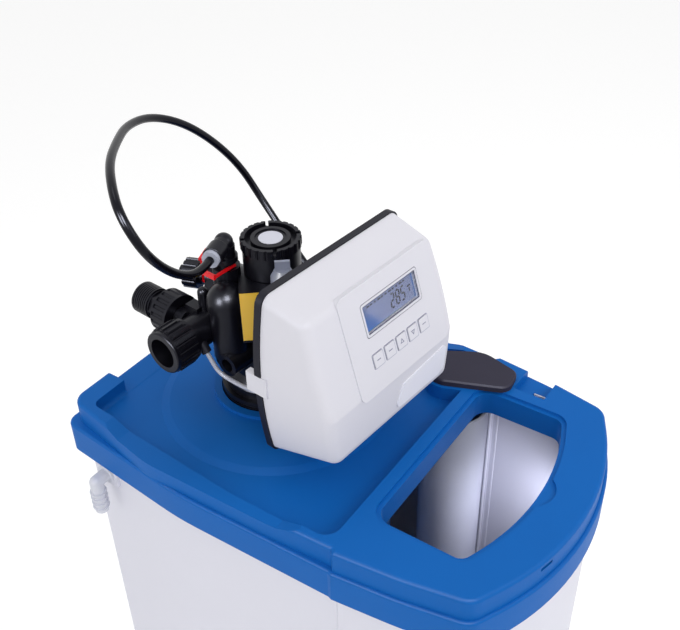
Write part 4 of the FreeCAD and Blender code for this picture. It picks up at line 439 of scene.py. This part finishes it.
def display_reading():
    """Seven-segment digits, a unit mark and a row of small scale marks on the cell's face."""
    form = bmesh.new()
    for place, digit in enumerate(READING):
        x = PANEL_X + READING_X + place * DIGIT_PITCH
        y = DISPLAY_FOOT + READING_UP
        for name in DIGITS[digit]:
            ends = [Vector((x + column * DIGIT_WIDE + row * DIGIT_ROW * DIGIT_LEAN, y + row * DIGIT_ROW))
                    for column, row in SEGMENTS[name]]
            add_segment(form, ends[0], ends[1])
    marks = []
    for i in range(SCALE_MARKS):
        x = PANEL_X + SCALE_X + i * SCALE_PITCH
        long = SCALE_MARK if i % 3 else SCALE_LONG_MARK
        marks.append((x, x + long, DISPLAY_TOP - SCALE_DOWN[0], DISPLAY_TOP - SCALE_DOWN[1]))
    x = PANEL_X + UNIT_X
    for left, right, foot, top in (UNIT_BAR, UNIT_STEM):
        marks.append((x + left, x + right, DISPLAY_FOOT + foot, DISPLAY_FOOT + top))
    for left, right, foot, top in marks:
        add_prism(form, trim_box(left, right, foot, top), *PRINT_Z)
    mesh_piece("display_reading", form, PANEL, "softener", CRYSTAL_DARK)


BAR_HALF_LONG, BAR_HALF_WIDE = 2.6, 0.45
ARROW_HALF, ARROW_FOOT, ARROW_TIP = 2.9, -2.0, 2.8
ARROW_HOLLOW, ARROW_SHIFT = 0.5, 0.2      # the arrowhead's opening: its size against the arrowhead, its shift
ARROWS = {2: 1.0, 3: -1.0}                # third button points up, fourth down
INK_Z = (BUTTON_TOP - 0.05, BUTTON_TOP + 0.08)


def button_x(i):
    return PANEL_X + (i - BUTTONS // 2) * BUTTON_PITCH


def key_symbols():
    """A bar or an open arrowhead printed on each button."""
    low, high = INK_Z
    for i in range(BUTTONS):
        x, y = button_x(i), BUTTON_DOWN
        form = bmesh.new()
        if i in ARROWS:
            lift = ARROWS[i]
            outer = [(x - ARROW_HALF, y + ARROW_FOOT * lift), (x + ARROW_HALF, y + ARROW_FOOT * lift),
                     (x, y + ARROW_TIP * lift)]
            inner = [(x + (px - x) * ARROW_HOLLOW, y + (py - y) * ARROW_HOLLOW - ARROW_SHIFT * lift)
                     for px, py in outer]
            add_frame(form, [(outer, low), (outer, high), (inner, high), (inner, low)])
        else:
            left, right = x - BAR_HALF_LONG, x + BAR_HALF_LONG
            foot, top = y - BAR_HALF_WIDE, y + BAR_HALF_WIDE
            add_prism(form, [(left, top), (left, foot), (right, foot), (right, top)], low, high)
        mesh_piece("key_symbol_%d" % (i + 1), form, PANEL, "key_%d" % (i + 1), SYMBOL_AND_SLIT_SHADE_GREY)


SLIT_OUTER, SLIT_INNER, SLIT_CORNER = 7.45, 6.85, 1.4
SLIT_Z = (1.19, 1.25)
SHADE_Z = (1.19, 1.29)
LEFT_SHADE = (-7.8, -6.8, -6.6, 7.0)      # left, right, foot and top from the button's middle
UPPER_SHADE = (-7.0, 6.2, 6.8, 7.7)


def key_surrounds():
    """Painted shade: a grey line in the slit round each button, darker at its left and upper sides where the
    edge shades it.
    """
    slits = bmesh.new()
    shades = bmesh.new()
    low, high = SLIT_Z
    for i in range(BUTTONS):
        x, y = button_x(i), BUTTON_DOWN
        loops = []
        for half, z in ((SLIT_OUTER, low), (SLIT_OUTER, high), (SLIT_INNER, high), (SLIT_INNER, low)):
            loops.append((rounded_box(x - half, x + half, y - half, y + half, SLIT_CORNER, 4), z))
        add_frame(slits, loops)
        for left, right, foot, top in (LEFT_SHADE, UPPER_SHADE):
            add_prism(shades, trim_box(x + left, x + right, y + foot, y + top), *SHADE_Z)
    mesh_piece("key_slits", slits, PANEL, "cover", SLIT_GREY)
    mesh_piece("key_slit_shades", shades, PANEL, "cover", SYMBOL_AND_SLIT_SHADE_GREY)


def slot_backs():
    """White rim of the cabinet, seen at the far side of the deck's two lid slots."""
    form = bmesh.new()
    for x, y in SLOTS:
        right = x + SLOT_HALF_WIDE - SLOT_BACK_OFF
        half = SLOT_HALF_LONG - SLOT_BACK_SHORT
        add_prism(form, trim_box(right - SLOT_BACK_THICK, right, y - half, y + half), *SLOT_BACK_Z)
    mesh_piece("slot_backs", form, OBJECT_FRAME, "softener", CABINET_WHITE)


def wall_beads():
    """Two upright beads inside the cabinet's right wall, at the step between its front and rear parts; their
    white, brighter than the wall's, is a painted highlight along the step's edges.
    """
    form = bmesh.new()
    for x, y in BEADS:
        add_prism(form, rounded_box(x - BEAD_R, x + BEAD_R, y - BEAD_R, y + BEAD_R, 0.95 * BEAD_R, 3), *BEAD_Z)
    mesh_piece("wall_beads", form, OBJECT_FRAME, "softener", PLATE_WHITE_AND_BEAD_HIGHLIGHT)


def ring_of_ribs_tree():
    """Geometry Nodes: copies of one rib on a circle, each turned to face outwards."""
    tree = bpy.data.node_groups.new("ring_of_ribs", "GeometryNodeTree")
    for name, kind in (("Rib", "NodeSocketObject"), ("Count", "NodeSocketInt"), ("Radius", "NodeSocketFloat"),
                       ("Look", "NodeSocketMaterial")):
        tree.interface.new_socket(name, in_out="INPUT", socket_type=kind)
    tree.interface.new_socket("Ring", in_out="OUTPUT", socket_type="NodeSocketGeometry")
    given = tree.nodes.new("NodeGroupInput").outputs
    circle = put(tree, "GeometryNodeMeshCircle", links={"Vertices": given["Count"], "Radius": given["Radius"]})
    place = put(tree, "GeometryNodeInputPosition")
    facing = put(tree, "FunctionNodeAlignEulerToVector", {"axis": "X", "pivot_axis": "Z"},
                 {"Vector": place.outputs[0]})
    one = put(tree, "GeometryNodeObjectInfo", links={"Object": given["Rib"]})
    copies = put(tree, "GeometryNodeInstanceOnPoints",
                 links={"Points": circle.outputs[0], "Instance": one.outputs["Geometry"],
                        "Rotation": facing.outputs[0]})
    real = put(tree, "GeometryNodeRealizeInstances", links={"Geometry": copies.outputs[0]})
    dressed = put(tree, "GeometryNodeSetMaterial",
                  links={"Geometry": real.outputs[0], "Material": given["Look"]})
    put(tree, "NodeGroupOutput", links={0: dressed.outputs[0]})
    return tree


def ring_of_ribs(tree, name, rib, count, radius, place, look):
    """Run the tree for one ring, and keep its result as a plain mesh at its place."""
    host = bpy.data.objects.new(name + "_host", bpy.data.meshes.new(name + "_host"))
    bpy.context.scene.collection.objects.link(host)
    modifier = host.modifiers.new("ring", "NODES")
    modifier.node_group = tree
    values = {"Rib": rib, "Count": count, "Radius": radius, "Look": look}
    for item in tree.interface.items_tree:
        if item.in_out == "INPUT":
            modifier[item.identifier] = values[item.name]
    seen = host.evaluated_get(bpy.context.evaluated_depsgraph_get())
    mesh = bpy.data.meshes.new_from_object(seen)
    host.modifiers.remove(modifier)
    bpy.data.objects.remove(host)
    mesh.transform(place)
    mesh.materials.clear()
    return link(bpy.data.objects.new(name, mesh), "softener", look)


def rib_bar(name, out, wide, high, bevel):
    """Bar with rounded edges in mm, about the origin: its depth along X, its width along Y."""
    form = bmesh.new()
    bmesh.ops.create_cube(form, size=1.0, matrix=Matrix.Diagonal((out, wide, high, 1.0)))
    bmesh.ops.bevel(form, geom=form.edges, offset=bevel, segments=2, affect="EDGES")
    mesh = bpy.data.meshes.new(name)
    form.to_mesh(mesh)
    form.free()
    mesh.transform(Matrix.Scale(0.001, 4))
    piece = bpy.data.objects.new(name, mesh)
    bpy.context.scene.collection.objects.link(piece)
    return piece


# Centre of each ring in the valve's frame and its radius, in metres
RIM_CENTRE, RIM_RADIUS, RIM_RIBS = (0.0, -0.015, 0.1722), 0.0284, 24
SOCKET_CENTRE, SOCKET_RADIUS, SOCKET_RIBS = (-0.0965, 0.027, 0.086), 0.0224, 20
RIM_TURN, SOCKET_TURN = math.radians(11.5), math.radians(9)


def valve_rings():
    """Ribs of the round cap's rim and of the open socket's ring."""
    tree = ring_of_ribs_tree()
    towards_left = Matrix.Rotation(math.radians(90), 4, "Y")
    rim_place = Matrix.Translation(RIM_CENTRE) @ Matrix.Rotation(RIM_TURN, 4, "Z")
    socket_place = Matrix.Translation(SOCKET_CENTRE) @ towards_left @ Matrix.Rotation(SOCKET_TURN, 4, "Z")
    rings = [
        ("injector_rim_ribs", rib_bar("rim_rib", out=1.6, wide=3.6, high=9.2, bevel=0.5), RIM_RIBS, RIM_RADIUS,
         rim_place),
        ("socket_ribs", rib_bar("socket_rib", out=2.0, wide=3.6, high=19.0, bevel=0.6), SOCKET_RIBS,
         SOCKET_RADIUS, socket_place),
    ]
    for name, rib, count, radius, place in rings:
        ring_of_ribs(tree, name, rib, count, radius, SEAT @ place, VALVE_BLACK)
        bpy.data.objects.remove(rib)


def cord_piece(name, points, diameter, look, node):
    """Round cord on a smooth spline through the route's control points."""
    curve = bpy.data.curves.new(name, "CURVE")
    curve.dimensions = "3D"
    curve.bevel_depth = diameter / 2
    curve.bevel_resolution = 6
    curve.resolution_u = 12
    curve.use_fill_caps = True
    spline = curve.splines.new("NURBS")
    spline.points.add(len(points) - 1)
    for point, place in zip(spline.points, points):
        point.co = (*place, 1.0)
    spline.order_u = 3
    spline.use_endpoint_u = True
    piece = bpy.data.objects.new(name, curve)
    link(piece, "softener", look)
    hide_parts(node)
    return piece


def cords():
    """Brine hose from its nut to the grommet in the deck, and the meter's cable to the back plate."""
    hose = cord_piece("brine_line", HOSE_POINTS, HOSE_DIAMETER, HOSE_BLACK, "brine_hose")
    cable = cord_piece("meter_lead", CABLE_POINTS, CABLE_DIAMETER, CABLE_GREY, "meter_cable")


WORLD_LIGHT = 0.80                        # strength of the surround's light; the camera sees it at 1
PAPER_LIFT = 0.13                         # glow of the floor for the camera alone
FLOOR_REACH = 6.0


def surround():
    """White surround: at full strength for the camera, gloss and glass, a little less as light."""
    world = bpy.data.worlds.new("surround")
    bpy.context.scene.world = world
    world.use_nodes = True
    tree = world.node_tree
    tree.nodes.clear()
    path = put(tree, "ShaderNodeLightPath").outputs
    seen = put(tree, "ShaderNodeMath", {"operation": "MAXIMUM"},
               {0: path["Is Camera Ray"], 1: path["Is Transmission Ray"]})
    shown = put(tree, "ShaderNodeMath", {"operation": "MAXIMUM"},
                {0: seen.outputs[0], 1: path["Is Glossy Ray"]})
    strength = put(tree, "ShaderNodeMapRange", {"To Min": WORLD_LIGHT, "To Max": 1.0},
                   {"Value": shown.outputs[0]})
    sky = put(tree, "ShaderNodeBackground", {"Color": WHITE}, {"Strength": strength.outputs[0]})
    put(tree, "ShaderNodeOutputWorld", links={"Surface": sky.outputs[0]})


def floor():
    """Matt seamless paper, lifted towards white for the camera; the light it gets keeps the shadow on it."""
    material, tree = new_material("floor_pale_seamless_paper")
    paper = put(tree, "ShaderNodeBsdfPrincipled",
                {"Base Color": linear("#FDFDFD"), "Roughness": 0.9, "Specular IOR Level": 0.1})
    path = put(tree, "ShaderNodeLightPath").outputs
    shown = put(tree, "ShaderNodeMath", {"operation": "MULTIPLY", 1: PAPER_LIFT}, {0: path["Is Camera Ray"]})
    glow = put(tree, "ShaderNodeEmission", {"Color": WHITE}, {"Strength": shown.outputs[0]})
    both = put(tree, "ShaderNodeAddShader", links={0: paper.outputs[0], 1: glow.outputs[0]})
    put(tree, "ShaderNodeOutputMaterial", links={"Surface": both.outputs[0]})
    mesh = bpy.data.meshes.new("floor")
    corners = [(x * FLOOR_REACH, y * FLOOR_REACH, 0) for x, y in ((-1, -1), (1, -1), (1, 1), (-1, 1))]
    mesh.from_pydata(corners, [], [(0, 1, 2, 3)])
    mesh.materials.append(material)
    sheet = bpy.data.objects.new("floor", mesh)
    bpy.context.scene.collection.objects.link(sheet)


def lamp(name, place, target, size, power, lights_all=True, colour=(1.0, 1.0, 1.0)):
    """Square lamp, places and size in metres, power in watts; it may show in gloss alone."""
    light = bpy.data.lights.new(name, "AREA")
    light.size = size
    light.energy = power
    light.color = colour
    holder = bpy.data.objects.new(name, light)
    holder.location = place
    holder.rotation_euler = (Vector(target) - Vector(place)).to_track_quat("-Z", "Y").to_euler()
    holder.visible_camera = False
    holder.visible_diffuse = lights_all
    bpy.context.scene.collection.objects.link(holder)


def lamps():
    """Soft studio lamps on the object."""
    lamp("key_softbox", (-1.6, -1.9, 2.9), (0.0, 0.0, 0.9), size=0.7, power=9.0)
    lamp("left_softbox", (-2.4, 0.4, 1.7), (0.0, 0.1, 0.9), size=0.6, power=5.5)
    lamp("front_softbox", (0.9, -2.3, 2.4), (0.0, 0.0, 0.8), size=1.2, power=18.0)
    lamp("top_softbox", (0.3, 0.9, 3.1), (0.0, 0.0, 0.9), size=0.8, power=4.0)
    # two that only show in the gloss of the black parts
    lamp("camera_glint", (-1.0, -0.9, 2.6), (0.0, 0.1, 1.0), size=0.9, power=110.0, lights_all=False)
    lamp("left_glint", (-1.9, 0.3, 1.9), (0.0, 0.1, 1.0), size=0.9, power=90.0, lights_all=False)
    # daylight that comes through the thin white walls into the salt space
    lamp("inside_glow", (0.075, -0.190, 0.765), (0.165, -0.09, 0.65), size=0.05, power=0.11,
         colour=(0.84, 0.86, 1.0))


CAMERA_PLACE = (-0.593, -0.4039, 1.540)
AZIMUTH, PITCH, ROLL = math.radians(-55.092), math.radians(35.998), math.radians(1.3136)
LENS, SENSOR = 50.56, 36.0


def camera():
    """The photograph's camera, found from the deck's edges."""
    level = math.cos(PITCH)
    ahead = Vector((-math.sin(AZIMUTH) * level, math.cos(AZIMUTH) * level, -math.sin(PITCH)))
    right = Vector((math.cos(AZIMUTH), math.sin(AZIMUTH), 0.0))
    down = ahead.cross(right)
    side = right * math.cos(ROLL) + down * math.sin(ROLL)
    up = right * math.sin(ROLL) - down * math.cos(ROLL)
    turn = Matrix((side, up, -ahead)).transposed()
    data = bpy.data.cameras.new("view")
    data.lens = LENS
    data.sensor_width = SENSOR
    data.clip_end = 50.0
    holder = bpy.data.objects.new("view", data)
    holder.matrix_world = Matrix.Translation(CAMERA_PLACE) @ turn.to_4x4()
    bpy.context.scene.collection.objects.link(holder)
    bpy.context.scene.camera = holder


bpy.context.scene.view_settings.view_transform = "Standard"
camera()
surround()
floor()
lamps()
dress_nodes()
cords()
display_frames()
display_reading()
key_symbols()
key_surrounds()
slot_backs()
wall_beads()
valve_rings()
